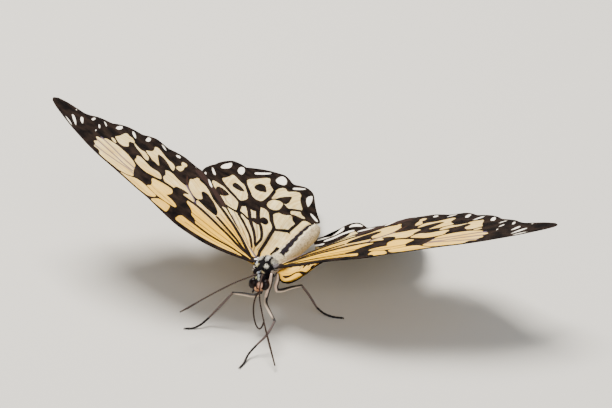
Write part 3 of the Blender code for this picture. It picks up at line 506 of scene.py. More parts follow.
def shape_distance(x, y, shape):
    """Distance from places to the nearest side of a closed shape, below zero
    inside. A place is inside where a level ray from it crosses an odd number
    of sides."""
    best = np.full(len(x), FAR)
    low, high = shape.min(axis=0) - FAR, shape.max(axis=0) + FAR
    near = (x > low[0]) & (x < high[0]) & (y > low[1]) & (y < high[1])
    px, py = x[near], y[near]
    d = np.full(len(px), FAR)
    within = np.zeros(len(px), bool)
    for (x0, y0), (x1, y1) in zip(shape, np.roll(shape, -1, axis=0)):
        dx, dy = x1 - x0, y1 - y0
        f = np.clip(((px - x0) * dx + (py - y0) * dy) / max(dx * dx + dy * dy, 1e-9), 0.0, 1.0)
        d = np.minimum(d, np.hypot(px - x0 - f * dx, py - y0 - f * dy))
        if y0 != y1:
            crosses = ((y0 > py) != (y1 > py)) & (px < x0 + (py - y0) / (y1 - y0) * dx)
            within ^= crosses
    best[near] = np.where(within, -d, d)
    return best


def nearest_shape(x, y, shapes):
    """Distance to the nearest of several closed shapes, below zero inside."""
    best = np.full(len(x), FAR)
    for shape in shapes:
        best = np.minimum(best, shape_distance(x, y, soften(shape)))
    return best


def nearest_line(x, y, lines):
    """Distance to the nearest of several lines, below zero on a line."""
    best = np.full(len(x), FAR)
    for start, end, *way in lines:
        best = np.minimum(best, line_distance(x, y, flow(way, False, MARK_STEP), start, end))
    return best


def make(name, verts, faces, values=None, places=None):
    """A smooth mesh object in the row frame from millimetre places. Values
    are kept on the points, and places are flat ones for the map OFBake."""
    face_list = faces.tolist() if isinstance(faces, np.ndarray) else faces
    mesh = bpy.data.meshes.new(name)
    mesh.from_pydata((verts * MM).tolist(), [], face_list)
    mesh.polygons.foreach_set("use_smooth", np.ones(len(mesh.polygons), bool))
    for key, data in (values or {}).items():
        data = np.asarray(data, np.float32)
        if data.ndim == 1:
            mesh.attributes.new(key, "FLOAT", "POINT").data.foreach_set("value", data)
        else:
            mesh.attributes.new(key, "FLOAT_VECTOR", "POINT").data.foreach_set("vector", data.ravel())
    if places is not None:
        corner = np.empty(len(mesh.loops), np.int32)
        mesh.loops.foreach_get("vertex_index", corner)
        mesh.uv_layers.new(name="OFBake").data.foreach_set("uv", places[corner].astype(np.float32).ravel())
    mesh.update()
    item = bpy.data.objects.new(name, mesh)
    bpy.context.scene.collection.objects.link(item)
    return item


def dress(item, material, slot, *nodes):
    """Put the material on, hang the piece on the root, and hide the parts that it stands for. The slot is not
    used.
    """
    item.data.materials.append(material)
    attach(item, "root")
    if nodes:
        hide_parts(*nodes)
    return item


def colour(red, green, blue):
    """Linear light from the usual 0 to 255 screen values."""
    out = []
    for c in (red, green, blue):
        c = c / 255.0
        out.append(c / 12.92 if c <= 0.04045 else ((c + 0.055) / 1.055) ** 2.4)
    return tuple(out) + (1.0,)


# A mix node's sockets for colours: the share, the two colours, the outcome.
MIX_SHARE = 0
MIX_FIRST = 6
MIX_SECOND = 7
MIX_OUT = 2


class Look:
    """A small helper that adds nodes to one material."""

    def __init__(self, name, rough, gloss=0.15):
        """A new material with its roughness and its gloss."""
        self.mat = bpy.data.materials.new(name)
        self.mat.use_nodes = True
        self.tree = self.mat.node_tree
        self.shader = self.tree.nodes["Principled BSDF"]
        self.shader.inputs["Roughness"].default_value = rough
        self.shader.inputs["Specular IOR Level"].default_value = gloss

    def add(self, kind, **settings):
        """One new node with its settings."""
        node = self.tree.nodes.new(kind)
        for key, value in settings.items():
            setattr(node, key, value)
        return node

    def plug(self, source, socket):
        """Link an outlet to the socket, or write a plain value into it."""
        if hasattr(source, "links"):
            self.tree.links.new(source, socket)
        else:
            socket.default_value = source

    def value(self, name):
        """A number that is kept on the points."""
        return self.add("ShaderNodeAttribute", attribute_name=name).outputs["Fac"]

    def vector(self, name):
        """Three numbers that are kept on the points."""
        return self.add("ShaderNodeAttribute", attribute_name=name).outputs["Vector"]

    def math(self, what, a, b=0.0, c=0.0):
        """One step of arithmetic with up to three numbers."""
        node = self.add("ShaderNodeMath", operation=what)
        for socket, given in zip(node.inputs, (a, b, c)):
            self.plug(given, socket)
        return node.outputs[0]

    def step(self, source, low, high):
        """A smooth rise from 0 at low to 1 at high. With low above high it is
        1 below high and falls to 0 at low."""
        node = self.add("ShaderNodeMapRange", interpolation_type="SMOOTHSTEP")
        flip = low > high
        self.plug(source, node.inputs["Value"])
        self.plug(min(low, high), node.inputs["From Min"])
        self.plug(max(low, high), node.inputs["From Max"])
        self.plug(1.0 if flip else 0.0, node.inputs["To Min"])
        self.plug(0.0 if flip else 1.0, node.inputs["To Max"])
        return node.outputs["Result"]

    def mark(self, name, ragged, low, high):
        """A step of a mark's distance, whose line is made ragged."""
        return self.step(self.math("ADD", self.value(name), ragged), low, high)

    def mix(self, share, first, second, blend="MIX"):
        """The first colour with the second one over it, by a share."""
        node = self.add("ShaderNodeMix", data_type="RGBA", blend_type=blend)
        self.plug(share, node.inputs[MIX_SHARE])
        self.plug(first, node.inputs[MIX_FIRST])
        self.plug(second, node.inputs[MIX_SECOND])
        return node.outputs[MIX_OUT]

    def tint(self, base, cover, strength, hue, blend="MIX"):
        """The base with a hue over it where the cover lies."""
        return self.mix(self.math("MULTIPLY", cover, strength), base, hue, blend)

    def noise(self, scale, detail=2.0, place=None):
        """Cloudy noise from 0 to 1, on the object's own places if none are
        given."""
        node = self.add("ShaderNodeTexNoise")
        self.plug(scale, node.inputs["Scale"])
        self.plug(detail, node.inputs["Detail"])
        if place is None:
            place = self.add("ShaderNodeTexCoord").outputs["Object"]
        self.plug(place, node.inputs["Vector"])
        return node.outputs["Fac"]

    def bump(self, height, depth):
        """A fine relief from a height between 0 and 1, and its depth in metres."""
        node = self.add("ShaderNodeBump")
        self.plug(1.0, node.inputs["Strength"])
        self.plug(depth, node.inputs["Distance"])
        self.plug(height, node.inputs["Height"])
        self.tree.links.new(node.outputs["Normal"], self.shader.inputs["Normal"])

    def paint(self, source):
        """Give the material its colour, and hand it over."""
        self.plug(source, self.shader.inputs["Base Color"])
        return self.mat


# Colours of the wing scales.
PATCH_LOW = colour(224, 200, 138)
PATCH_HIGH = colour(240, 222, 170)
# PATCH_GOLD is the wings' own gold, and on the left forewing also painted warm light reflected from the
# fruit.
PATCH_GOLD = colour(248, 188, 0)
STREAK_BROWN = colour(156, 108, 40)
GRAIN_BROWN = colour(184, 144, 64)
DARK_LOW = colour(9, 6, 6)
DARK_HIGH = colour(38, 28, 22)
TAN = colour(48, 34, 30)
FOLD_BROWN = colour(60, 38, 28)
VEIL_VIOLET = colour(86, 74, 92)
SPOT_WHITE = colour(250, 240, 222)
# How far the marks' edges stray in all. For each mark, the distance at which
# its edge starts and the one at which it is whole.
RAGGED = 0.3
MARK_EDGES = {"pale": (0.1, -0.08), "spot": (-0.1, -0.26), "vein": (0.2, 0.03), "veil": (0.2, -0.04),
              "fold": (0.24, -0.1)}
# How fine the noise is for ragged edges, clouds, streaks, bands of gold, grain
# and relief. Streaks and bands go by the streaks' measure, the rest by
# millimetres. The relief's depth is in metres.
RAGGED_FINE = 4.0
CLOUD_FINE = 0.35
STREAK_FINE = 1.0
BAND_FINE = 1.6
GRAIN_FINE = 5.0
RELIEF_FINE = 9.0
RELIEF_DEEP = 0.00004
# How strongly streaks, grain, folds and softer lines show, and the least share
# of the gold between its bands.
STREAK_SHARE = 0.42
GRAIN_SHARE = 0.36
FOLD_SHARE = 0.8
VEIL_SHARE = 0.85
GOLD_LEAST = 0.82


def wing_look():
    """Matt scales: pale patches and white spots on black-brown, dark veins,
    fine folds and streaks that run from the root to the rim. Each mark is a
    soft step of its distance, and the marks lie over one another in the order
    of patches, folds, softer lines, veins and spots."""
    look = Look("wing scales", rough=0.8, gloss=0.04)
    place = look.vector("place")
    ragged = look.math("MULTIPLY_ADD", look.noise(RAGGED_FINE, 2.0, place), RAGGED, -0.5 * RAGGED)
    cover = {name: look.mark(name, ragged, *edge) for name, edge in MARK_EDGES.items()}
    cloud = look.noise(CLOUD_FINE, 3.0, place)
    strand = look.noise(STREAK_FINE, 2.0, look.vector("strand"))
    cream = look.mix(look.step(cloud, 0.35, 0.7), PATCH_LOW, PATCH_HIGH)
    band = look.step(look.noise(BAND_FINE, 2.0, look.vector("strand")), 0.62, 0.4)
    banded = look.math("MULTIPLY_ADD", band, 1.0 - GOLD_LEAST, GOLD_LEAST)
    # The gold is the wing's own tint, and on the left forewing also a painted reflection of the fruit's warm
    # light.
    cream = look.tint(cream, look.value("gold"), banded, PATCH_GOLD)
    cream = look.tint(cream, look.step(strand, 0.62, 0.36), STREAK_SHARE, STREAK_BROWN)
    grain = look.step(look.noise(GRAIN_FINE, 3.0, place), 0.35, 0.75)
    cream = look.tint(cream, grain, GRAIN_SHARE, GRAIN_BROWN)
    dark = look.mix(look.step(cloud, 0.3, 0.75), DARK_LOW, DARK_HIGH)
    base = look.mix(cover["pale"], look.mix(look.value("brown"), dark, TAN), cream)
    base = look.tint(base, cover["fold"], FOLD_SHARE, FOLD_BROWN)
    base = look.tint(base, cover["veil"], VEIL_SHARE, VEIL_VIOLET)
    base = look.mix(cover["vein"], base, dark)
    base = look.mix(cover["spot"], base, SPOT_WHITE)
    look.bump(look.noise(RELIEF_FINE, 2.0, place), RELIEF_DEEP)
    return look.paint(base)


def along_curve(line, share):
    """Places at shares of the length of a smooth curve."""
    way = flow(line, False, EDGE_STEP)
    run = np.concatenate([[0.0], np.cumsum(np.linalg.norm(np.diff(way, axis=0), axis=1))])
    return np.stack([np.interp(share * run[-1], run, way[:, k]) for k in (0, 1)], -1)


def wing_grid(edge, tip, end, columns, rows):
    """The flat wing as a patch between four curves of its outline: the front
    edge up to the tip, the far end from there to the end, the rear edge from
    there back, and the root. u runs from the root to the far end and v from
    the front edge to the rear edge. A place is the blend of front and rear by
    v, plus the blend of root and far end by u, less the even blend of the four
    corners."""
    u = np.linspace(0.0, 1.0, columns + 1)
    v = np.linspace(0.0, 1.0, rows + 1)
    front = along_curve(edge[:tip + 1], u)[:, None]
    rear = along_curve(edge[:end - 1:-1], u)[:, None]
    far = along_curve(edge[tip:end + 1], v)[None]
    u, v = u[:, None, None], v[None, :, None]
    root = (1.0 - v) * front[0] + v * rear[0]
    corners = ((1.0 - u) * (1.0 - v) * front[0] + (1.0 - u) * v * rear[0] + u * (1.0 - v) * far[0, 0]
               + u * v * far[0, -1])
    return (1.0 - v) * front + v * rear + (1.0 - u) * root + u * far - corners


def loop_faces(rows, ring):
    """Quads between closed rings of places that follow one another."""
    row, k = np.meshgrid(np.arange(rows - 1), np.arange(ring), indexing="ij")
    after = (k + 1) % ring
    low, high = row * ring, (row + 1) * ring
    return np.stack([low + k, low + after, high + after, high + k], -1).reshape(-1, 4)


def clean_faces(faces):
    """Faces without a place that is named twice: quads whose neighbouring
    places are equal become triangles."""
    same = faces == np.roll(faces, 1, axis=1)
    whole = faces[~same.any(axis=1)].tolist()
    return whole + [f[~s].tolist() for f, s in zip(faces[same.any(axis=1)], same[same.any(axis=1)])]


# The wing sheet: its middle's height over the wing's measured face, half its
# thickness at the rim, how much that gains over the rim's width, and how thin
# the sheet may get above the floor.
SHEET_OVER = -0.17
RIM_HALF = 0.05
HALF_GAIN = 0.06
RIM_WIDE = 0.6
THINNEST = 0.12
# Height and width of the ridges on the veins, and of the rise beside them.
RIDGE_HIGH = 0.1
RIDGE_WIDE = 0.3
RISE_HIGH = 0.08
RISE_WIDE = 1.5
# How many units of the streaks' noise there are along a wing and across it.
STREAKS_ALONG = 5.0
STREAKS_ACROSS = 60.0
# How much wider the left forewing's fine lines are, and the veins at its root.
LEFT_BOLD = 0.12


def forewing_tints(side, a, b):
    """How gold and how brown a forewing is, from 0 to 1. The gold fades outward and towards the front edge.
    On the left wing it reaches farther out and is weakened less, a painted reflection of the fruit's warm
    light over the wing's own gold. It is weaker along the rear edge at the root, and in the patches behind
    the middle. The brown lies along the rear edge, at the root and in a band."""
    # The left forewing's longer reach and weaker fade of the gold are painted warm light reflected from the
    # fruit.
    reach, weak = (78.0, 0.5) if side > 0 else (52.0, 0.8)
    gold = 0.06 + 0.94 * (1.0 - ease(a, 14.0, reach)) * ease(b + 0.2 * a, -6.5, -1.5)
    gold = gold * (1.0 - 0.8 * ease(b - 0.95 * a, -0.3, 0.5))
    gold = gold * (1.0 - weak * ease(b - 0.2 * a, -1.0, 5.0) * ease(a, 9.0, 16.0))
    band = line_distance(a, b, flow(FORE_BAND, False, MARK_STEP), 0.5, 0.9)
    near_root = 0.7 * ease(b - 1.02 * a, -1.2, 0.4) * (1.0 - ease(a, 6.0, 10.0))
    return gold, np.maximum(near_root, 0.9 * (1.0 - ease(band, 0.0, 0.7)))


def hindwing_tints(side, b):
    """The same for a hindwing: both fade from the front towards the rear."""
    gold = (0.95 if side > 0 else 0.6) * (1.0 - ease(b, 3.0, 16.0))
    return gold, 0.4 * (1.0 - ease(b, 2.0, 12.0))


def wing_values(side, fore, a, b, marks):
    """What the wing's look reads at each place: the distances to the marks,
    and how gold and how brown the wing is."""
    values = {key: nearest_line(a, b, marks[key]) for key in ("vein", "fold", "veil")}
    if fore and side > 0:
        values["fold"] = values["fold"] - LEFT_BOLD
        values["veil"] = values["veil"] - LEFT_BOLD
        values["vein"] = values["vein"] - LEFT_BOLD * (1.0 - ease(a, 18.0, 28.0))
    values["pale"] = np.maximum(nearest_shape(a, b, marks["pale"]), -nearest_shape(a, b, marks["dark"]))
    values["spot"] = nearest_shape(a, b, marks["spot"])
    values["gold"], values["brown"] = forewing_tints(side, a, b) if fore else hindwing_tints(side, b)
    return values


def sheet_faces(columns, rows):
    """Quads of a closed sheet: between its rings, and one strip at each end
    that joins the upper face to the lower one."""
    ring = 2 * rows
    j = np.arange(rows)
    cap = np.stack([j, (ring - j) % ring, (ring - j - 1) % ring, j + 1], -1)
    return np.concatenate([loop_faces(columns + 1, ring), cap, cap[:, ::-1] + columns * ring])


def wing(name, side, fore, grid, edge, marks, material):
    """A wing: a thin closed sheet on the flat patch, whose middle follows the
    wing's height formula. Its thickness grows from the rim inward, a ridge
    stands on each vein, and the sheet rises a little between the veins. Each
    row of the patch is a ring: the upper face from front to rear, and back on
    the lower face, and both meet in the rim."""
    columns, rows = grid.shape[0] - 1, grid.shape[1] - 1
    a, b = grid[..., 0].ravel(), grid[..., 1].ravel()
    values = wing_values(side, fore, a, b, marks)
    inside = -shape_distance(a, b, flow(edge, True, RIM_STEP))
    ridge = np.clip(1.0 - np.maximum(values["vein"], 0.0) / RIDGE_WIDE, 0.0, 1.0)
    half = RIM_HALF + HALF_GAIN * np.clip(inside / RIM_WIDE, 0.0, 1.0)
    middle = SHEET_OVER + RISE_HIGH * np.clip(values["vein"] / RISE_WIDE, 0.0, 1.0)
    up = wing_point(side, fore, a, b, middle + half + RIDGE_HIGH * ridge)
    down = wing_point(side, fore, a, b, middle - half)
    down[:, 2] = np.maximum(down[:, 2], 0.0)
    up[:, 2] = np.maximum(up[:, 2], down[:, 2] + THINNEST)
    up = up.reshape(columns + 1, rows + 1, 3)
    down = down.reshape(columns + 1, rows + 1, 3)
    order = np.concatenate([np.arange(rows + 1), np.arange(rows - 1, 0, -1)])
    under = np.arange(len(order)) > rows
    verts = np.where(under[None, :, None], down[:, order], up[:, order])
    verts[:, [0, rows]] = 0.5 * (up[:, [0, rows]] + down[:, [0, rows]])
    faces = sheet_faces(columns, rows)
    if side < 0:
        faces = faces[:, ::-1]
    values = {key: data.reshape(columns + 1, rows + 1)[:, order].ravel() for key, data in values.items()}
    flat = np.concatenate([grid, 0.0 * grid[..., :1]], -1)
    values["place"] = flat[:, order].reshape(-1, 3)
    u, v = np.meshgrid(np.linspace(0.0, STREAKS_ALONG, columns + 1),
                       np.linspace(0.0, STREAKS_ACROSS, rows + 1), indexing="ij")
    streak = np.stack([u, v, 0.0 * u], -1)
    values["strand"] = streak[:, order].reshape(-1, 3)
    item = make(name, verts.reshape(-1, 3), clean_faces(faces), values)
    return dress(item, material, "wing", name.replace("look_", ""))


FORE_MARKS = {"vein": FORE_LINES, "fold": FORE_FOLDS, "veil": FORE_VEILS, "pale": FORE_PALE,
              "dark": FORE_DARK, "spot": FORE_SPOTS}
HIND_MARKS = {"vein": HIND_LINES, "fold": HIND_FOLDS, "veil": HIND_VEILS, "pale": HIND_PALE,
              "dark": HIND_DARK, "spot": HIND_SPOTS}
FORE_MARKS_LEFT = dict(FORE_MARKS, vein=FORE_LINES + FRONT_LINES)
HIND_MARKS_LEFT = dict(HIND_MARKS, vein=HIND_LINES_LEFT, fold=HIND_FOLDS_LEFT, spot=HIND_SPOTS_LEFT)
# How many steps a wing's patch has outward and from front to rear.
FORE_STEPS = (300, 124)
HIND_STEPS = (270, 136)
wings = wing_look()
fore_grid = wing_grid(FORE_EDGE, *FORE_TIPS, *FORE_STEPS)
right_grid = wing_grid(HIND_EDGE_RIGHT, *HIND_TIPS, *HIND_STEPS)
left_grid = wing_grid(HIND_EDGE_LEFT, *HIND_TIPS, *HIND_STEPS)
wing("look_forewing_right", -1, True, fore_grid, FORE_EDGE, FORE_MARKS, wings)
wing("look_forewing_left", 1, True, fore_grid, FORE_EDGE, FORE_MARKS_LEFT, wings)
wing("look_hindwing_right", -1, False, right_grid, HIND_EDGE_RIGHT, HIND_MARKS, wings)
wing("look_hindwing_left", 1, False, left_grid, HIND_EDGE_LEFT, HIND_MARKS_LEFT, wings)

# The skin of the body from the head to the tail: place along the body, half
# width, half height, and how far the middle is above the body line.
BODY_RINGS = (
    (-7.4, 0.35, 0.5, -1.95), (-7.3, 0.6, 0.85, -1.9), (-7.1, 0.85, 1.25, -1.8), (-6.8, 1.05, 1.55, -1.65),
    (-6.2, 1.2, 1.85, -1.4), (-5.3, 1.25, 1.85, -1.1), (-4.8, 1.1, 1.55, -0.85), (-4.35, 0.85, 1.1, -0.6),
    (-4.0, 0.75, 0.85, -0.45), (-3.7, 0.9, 0.95, -0.35), (-3.2, 1.5, 1.5, -0.2), (-2.2, 2.1, 2.1, -0.1),
    (-0.8, 2.4, 2.4, 0.0), (0.8, 2.5, 2.4, 0.0), (2.2, 2.2, 2.2, -0.1), (3.3, 1.65, 1.65, -0.4),
    (4.0, 1.25, 1.25, -0.65), (4.8, 1.4, 1.4, -0.8), (7.0, 1.7, 1.7, -1.0), (10.0, 1.9, 1.9, -1.2),
    (13.5, 2.0, 2.0, -1.3), (17.0, 2.1, 2.1, -1.3), (20.5, 2.15, 2.15, -1.3), (24.0, 2.15, 2.15, -1.2),
    (27.5, 2.15, 2.15, -1.1), (30.5, 2.1, 2.1, -1.0), (33.5, 1.9, 1.9, -0.8), (36.0, 1.35, 1.35, -0.7),
    (37.1, 0.75, 0.75, -0.7), (37.4, 0.3, 0.3, -0.7),
)
BODY_STEP = 0.15
BODY = flow(BODY_RINGS, False, BODY_STEP)
# The skin is built of this many sides, at steps along the body from the first
# ring to the last one. A point before them and one behind them close it.
BODY_SIDES = 96
SKIN_STEP = 0.16
SKIN_START = BODY_RINGS[0][0]
SKIN_END = BODY_RINGS[-1][0]
FACE_POINT = (0.0, -1.95, -7.45)
TAIL_UP = -0.7
TAIL_ALONG = 37.46
# The abdomen bends to the left: from where, over what length, and how far.
ABDOMEN_START = 4.1
ABDOMEN_LONG = 33.3
ABDOMEN_BEND = 1.6
# Creases between its segments: how far apart, where one lies, depth and width,
# and between which places along the body they start and end.
SEGMENT_LONG = 4.15
CREASE_AT = 8.0
CREASE_DEEP = 0.09
CREASE_WIDE = 0.25
CREASE_START = (6.0, 7.0)
CREASE_END = (34.0, 36.0)
# The dark band on its back: places along it, how far left its middle lies at
# each, half its width, and how much that swells and shrinks in each segment.
BAND_ALONG = (8.0, 10.6, 16.8, 23.2, 29.2, 36.0)
BAND_LEFT = (0.75, 0.62, 0.38, 0.22, 0.22, 0.5)
BAND_HALF = 0.76
BAND_WAVE = 0.13
# Half the soft rims of dots and stripes, and how finely a stripe is cut up.
DOT_SOFT = 0.12
STRIPE_SOFT = 0.1
STRIPE_STEP = 0.08

# Colours of the body.
BLACK = colour(20, 14, 18)
GREY_WHITE = colour(208, 200, 178)
WHITE = colour(240, 236, 228)
MOTTLE_GREY = colour(112, 112, 126)
BREAST_BROWN = colour(150, 120, 104)
ABDOMEN_BUFF = colour(224, 204, 163)
ABDOMEN_GREY = colour(176, 164, 146)
ABDOMEN_WHITE = colour(254, 240, 202)
BAND_DARK = colour(30, 22, 30)
SPECK_BROWN = colour(120, 84, 60)
SCALE_SHADE = (0.25, 0.2, 0.17, 1.0)
# How fine the body's grain, specks and relief are for each metre, how strongly
# the first two show, and the relief's depth in metres.
SCALE_FINE = 3200.0
SPECK_FINE = 1100.0
SKIN_FINE = 5000.0
SCALE_SHARE = 0.3
SPECK_SHARE = 0.7
SKIN_DEEP = 0.00003


def skin_frame(along, turn, lift=0.0):
    """Left and up in the frame of the body for places on the skin: an oval
    round the body line, with a crease between neighbouring segments."""
    wide = np.interp(along, BODY[:, 0], BODY[:, 1])
    high = np.interp(along, BODY[:, 0], BODY[:, 2])
    up = np.interp(along, BODY[:, 0], BODY[:, 3])
    phase = (along - CREASE_AT) / SEGMENT_LONG
    gap = np.abs(phase - np.round(phase)) * SEGMENT_LONG
    crease = CREASE_DEEP * np.exp(-(gap / CREASE_WIDE) ** 2)
    crease = crease * ease(along, *CREASE_START) * (1.0 - ease(along, *CREASE_END))
    left = ABDOMEN_BEND * np.clip((along - ABDOMEN_START) / ABDOMEN_LONG, 0.0, 1.0)
    return left + (wide - crease + lift) * np.cos(turn), up + (high - crease + lift) * np.sin(turn)


def skin_place(along, turn, lift=0.0):
    """Places on the skin in the room."""
    left, up = skin_frame(along, turn, lift)
    return head_point(left, up, along)


def blend(base, tint, amount):
    """Colours moved towards a tint by an amount from 0 to 1."""
    return base + (np.array(tint[:3]) - base) * amount[..., None]


def dot(places, middle, radius):
    """1 within the radius of a middle and 0 beyond it, with a soft rim."""
    off = np.linalg.norm(places - np.array(middle), axis=-1)
    return 1.0 - ease(off, radius - DOT_SOFT, radius + DOT_SOFT)


def stripe(places, way, half):
    """The same round an open line: the distance to the nearest of many even
    places on the line."""
    line = flow(way, False, STRIPE_STEP)
    best = np.min([np.linalg.norm(places - p, axis=-1) for p in line], axis=0)
    return 1.0 - ease(best, half - STRIPE_SOFT, half + STRIPE_SOFT)


# Marks of the body: left, up and along, then the radius and the colour.
BODY_DOTS = (
    ((0.71, 1.3, -3.1), 0.5, colour(250, 244, 226)), ((-1.3, 1.05, -2.9), 0.45, colour(232, 222, 170)),
    ((-1.9, 1.2, -2.2), 0.42, colour(214, 220, 232)), ((2.0, 1.35, -1.15), 0.62, WHITE),
    ((2.0, 0.1, -2.5), 0.5, colour(226, 204, 184)), ((-2.0, 0.1, -2.5), 0.5, colour(226, 214, 200)),
    ((2.4, -0.5, -1.0), 0.42, WHITE), ((-2.4, -0.5, -1.0), 0.42, WHITE), ((2.35, -0.9, 0.9), 0.48, WHITE),
    ((-2.35, -0.9, 0.9), 0.48, WHITE), ((1.9, -1.3, 2.3), 0.42, WHITE), ((-1.9, -1.3, 2.3), 0.42, WHITE),
    ((1.6, -1.5, -1.9), 0.4, WHITE), ((-1.6, -1.5, -1.9), 0.4, WHITE),
    ((-0.95, 0.45, -5.2), 0.36, colour(214, 210, 190)), ((0.95, 0.45, -5.1), 0.3, colour(214, 210, 190)),
    ((-0.95, -0.35, -6.3), 0.34, colour(206, 204, 150)), ((0.48, 0.7, -5.2), 0.36, colour(226, 204, 150)),
    ((-0.55, 0.5, -5.6), 0.34, colour(150, 156, 170)), ((-0.5, 0.05, -6.5), 0.36, colour(176, 180, 180)),
    ((-0.4, -0.4, -6.95), 0.3, colour(160, 160, 150)), ((0.0, 0.8, -4.6), 0.3, colour(214, 210, 190)),
)
# The white line down the thorax and the pale face: the way of each, half its
# width and its colour.
BODY_STRIPES = (
    (((0.02, 2.4, 1.1), (0.15, 2.4, -1.7)), 0.36, colour(226, 222, 214)),
    (((0.15, -1.65, -7.25), (0.2, -2.15, -7.2)), 0.56, colour(224, 178, 152)),
)


def mottle(left, along):
    """Soft blots from 0 to 1: the product of two slanting waves."""
    return 0.5 + 0.5 * np.sin(5.6 * left + 3.1 * along) * np.sin(6.3 * along - 4.3 * left + 0.7)


def thorax_hue(hue, left, up, along):
    """The thorax over black: grey-white sides behind the collar and a
    grey-white rear, both with darker grey blots, and a brown breast."""
    sides = ease(np.abs(left - 0.1), 0.85, 1.05) * ease(along, -1.9, -1.4)
    pale = np.maximum(sides, ease(along, 1.0, 1.7))
    upper = ease(up, -0.4, 0.5)
    hue = blend(hue, GREY_WHITE, pale * upper)
    hue = blend(hue, MOTTLE_GREY, 0.75 * mottle(left, along) ** 2 * pale * upper)
    return blend(hue, BREAST_BROWN, ease(-up, 1.2, 1.9) * ease(along, -3.0, -2.0))


def abdomen_hue(hue, left, up, along):
    """The abdomen: buff with grey blots, and along its back a dark band whose
    width goes in waves, with whitish sides."""
    middle = np.interp(along, BAND_ALONG, BAND_LEFT)
    half = BAND_HALF + BAND_WAVE * np.sin(2.0 * math.pi * (along - CREASE_AT) / SEGMENT_LONG)
    off = np.abs(left - middle)
    whole = ease(along, 3.6, 4.4)
    hue = blend(hue, ABDOMEN_BUFF, whole)
    hue = blend(hue, ABDOMEN_GREY, 0.35 * whole * mottle(left, along))
    beside = whole * (1.0 - ease(off, half + 0.35, half + 0.55)) * ease(up, -1.0, 0.0)
    hue = blend(hue, ABDOMEN_WHITE, beside)
    dark = (1.0 - ease(off, half - 0.08, half + 0.08)) * ease(up, -1.2, -0.8)
    return blend(hue, BAND_DARK, dark * ease(along, 8.6, 9.3) * (1.0 - ease(along, 35.8, 36.6)))


def skin_hue(left, up, along):
    """The colour of the skin: black, and over it the colours of thorax and
    abdomen, the stripes and the dots."""
    left, up, along = np.broadcast_arrays(left, up, along)
    places = np.stack([left, up, along], -1)
    hue = np.zeros(left.shape + (3,)) + np.array(BLACK[:3])
    hue = abdomen_hue(thorax_hue(hue, left, up, along), left, up, along)
    for way, width, tint in BODY_STRIPES:
        hue = blend(hue, tint, stripe(places, way, width))
    for spot_middle, radius, tint in BODY_DOTS:
        hue = blend(hue, tint, dot(places, spot_middle, radius))
    return hue


def speckled(left, along):
    """Where the abdomen's flanks carry brown specks."""
    flanks = ease(along, 12.0, 22.0) * ease(np.abs(left - 0.8), 0.7, 1.1)
    return flanks * (1.0 - ease(along, 35.5, 36.5))


def scale_look(name, rough, gloss, specks=False):
    """The colour kept on the points, with a fine grain of scales."""
    look = Look(name, rough, gloss)
    hue = look.vector("hue")
    grain = look.step(look.noise(SCALE_FINE, 2.0), 0.3, 0.7)
    hue = look.tint(hue, grain, SCALE_SHARE, SCALE_SHADE, "MULTIPLY")
    if specks:
        speck = look.math("MULTIPLY", look.step(look.noise(SPECK_FINE, 1.0), 0.54, 0.64), look.value("speck"))
        hue = look.tint(hue, speck, SPECK_SHARE, SPECK_BROWN)
    look.bump(look.noise(SKIN_FINE, 2.0), SKIN_DEEP)
    return look.paint(hue)


def shell(rings, start, end):
    """A closed shell of rings that follow one another, with a point at each
    end. Its faces look outward: they are turned round where the volume, the
    sum of each corner times the cross of the next two, comes out negative."""
    rows, sides = rings.shape[:2]
    verts = np.concatenate([rings.reshape(-1, 3), [start, end]])
    k = np.arange(sides)
    after = (k + 1) % sides
    low = (rows - 1) * sides
    first = np.full(sides, rows * sides)
    caps = [np.stack([first, after, k, k], -1), np.stack([first + 1, low + k, low + after, low + after], -1)]
    faces = np.concatenate([loop_faces(rows, sides)] + caps)
    v = verts[faces]
    volume = np.einsum("ij,ij->", v[:, 0], np.cross(v[:, 1], v[:, 2]) + np.cross(v[:, 2], v[:, 3]))
    if volume < 0.0:
        faces = faces[:, ::-1]
    return verts, clean_faces(faces)


# The dome at a member's end: the turns of its rings, its length in radii, and
# how far its last point stands out from its last ring.
DOME_TURNS = np.array([1.35, 1.0, 0.5])
DOME_LONG = 0.7
DOME_POINT = 0.2


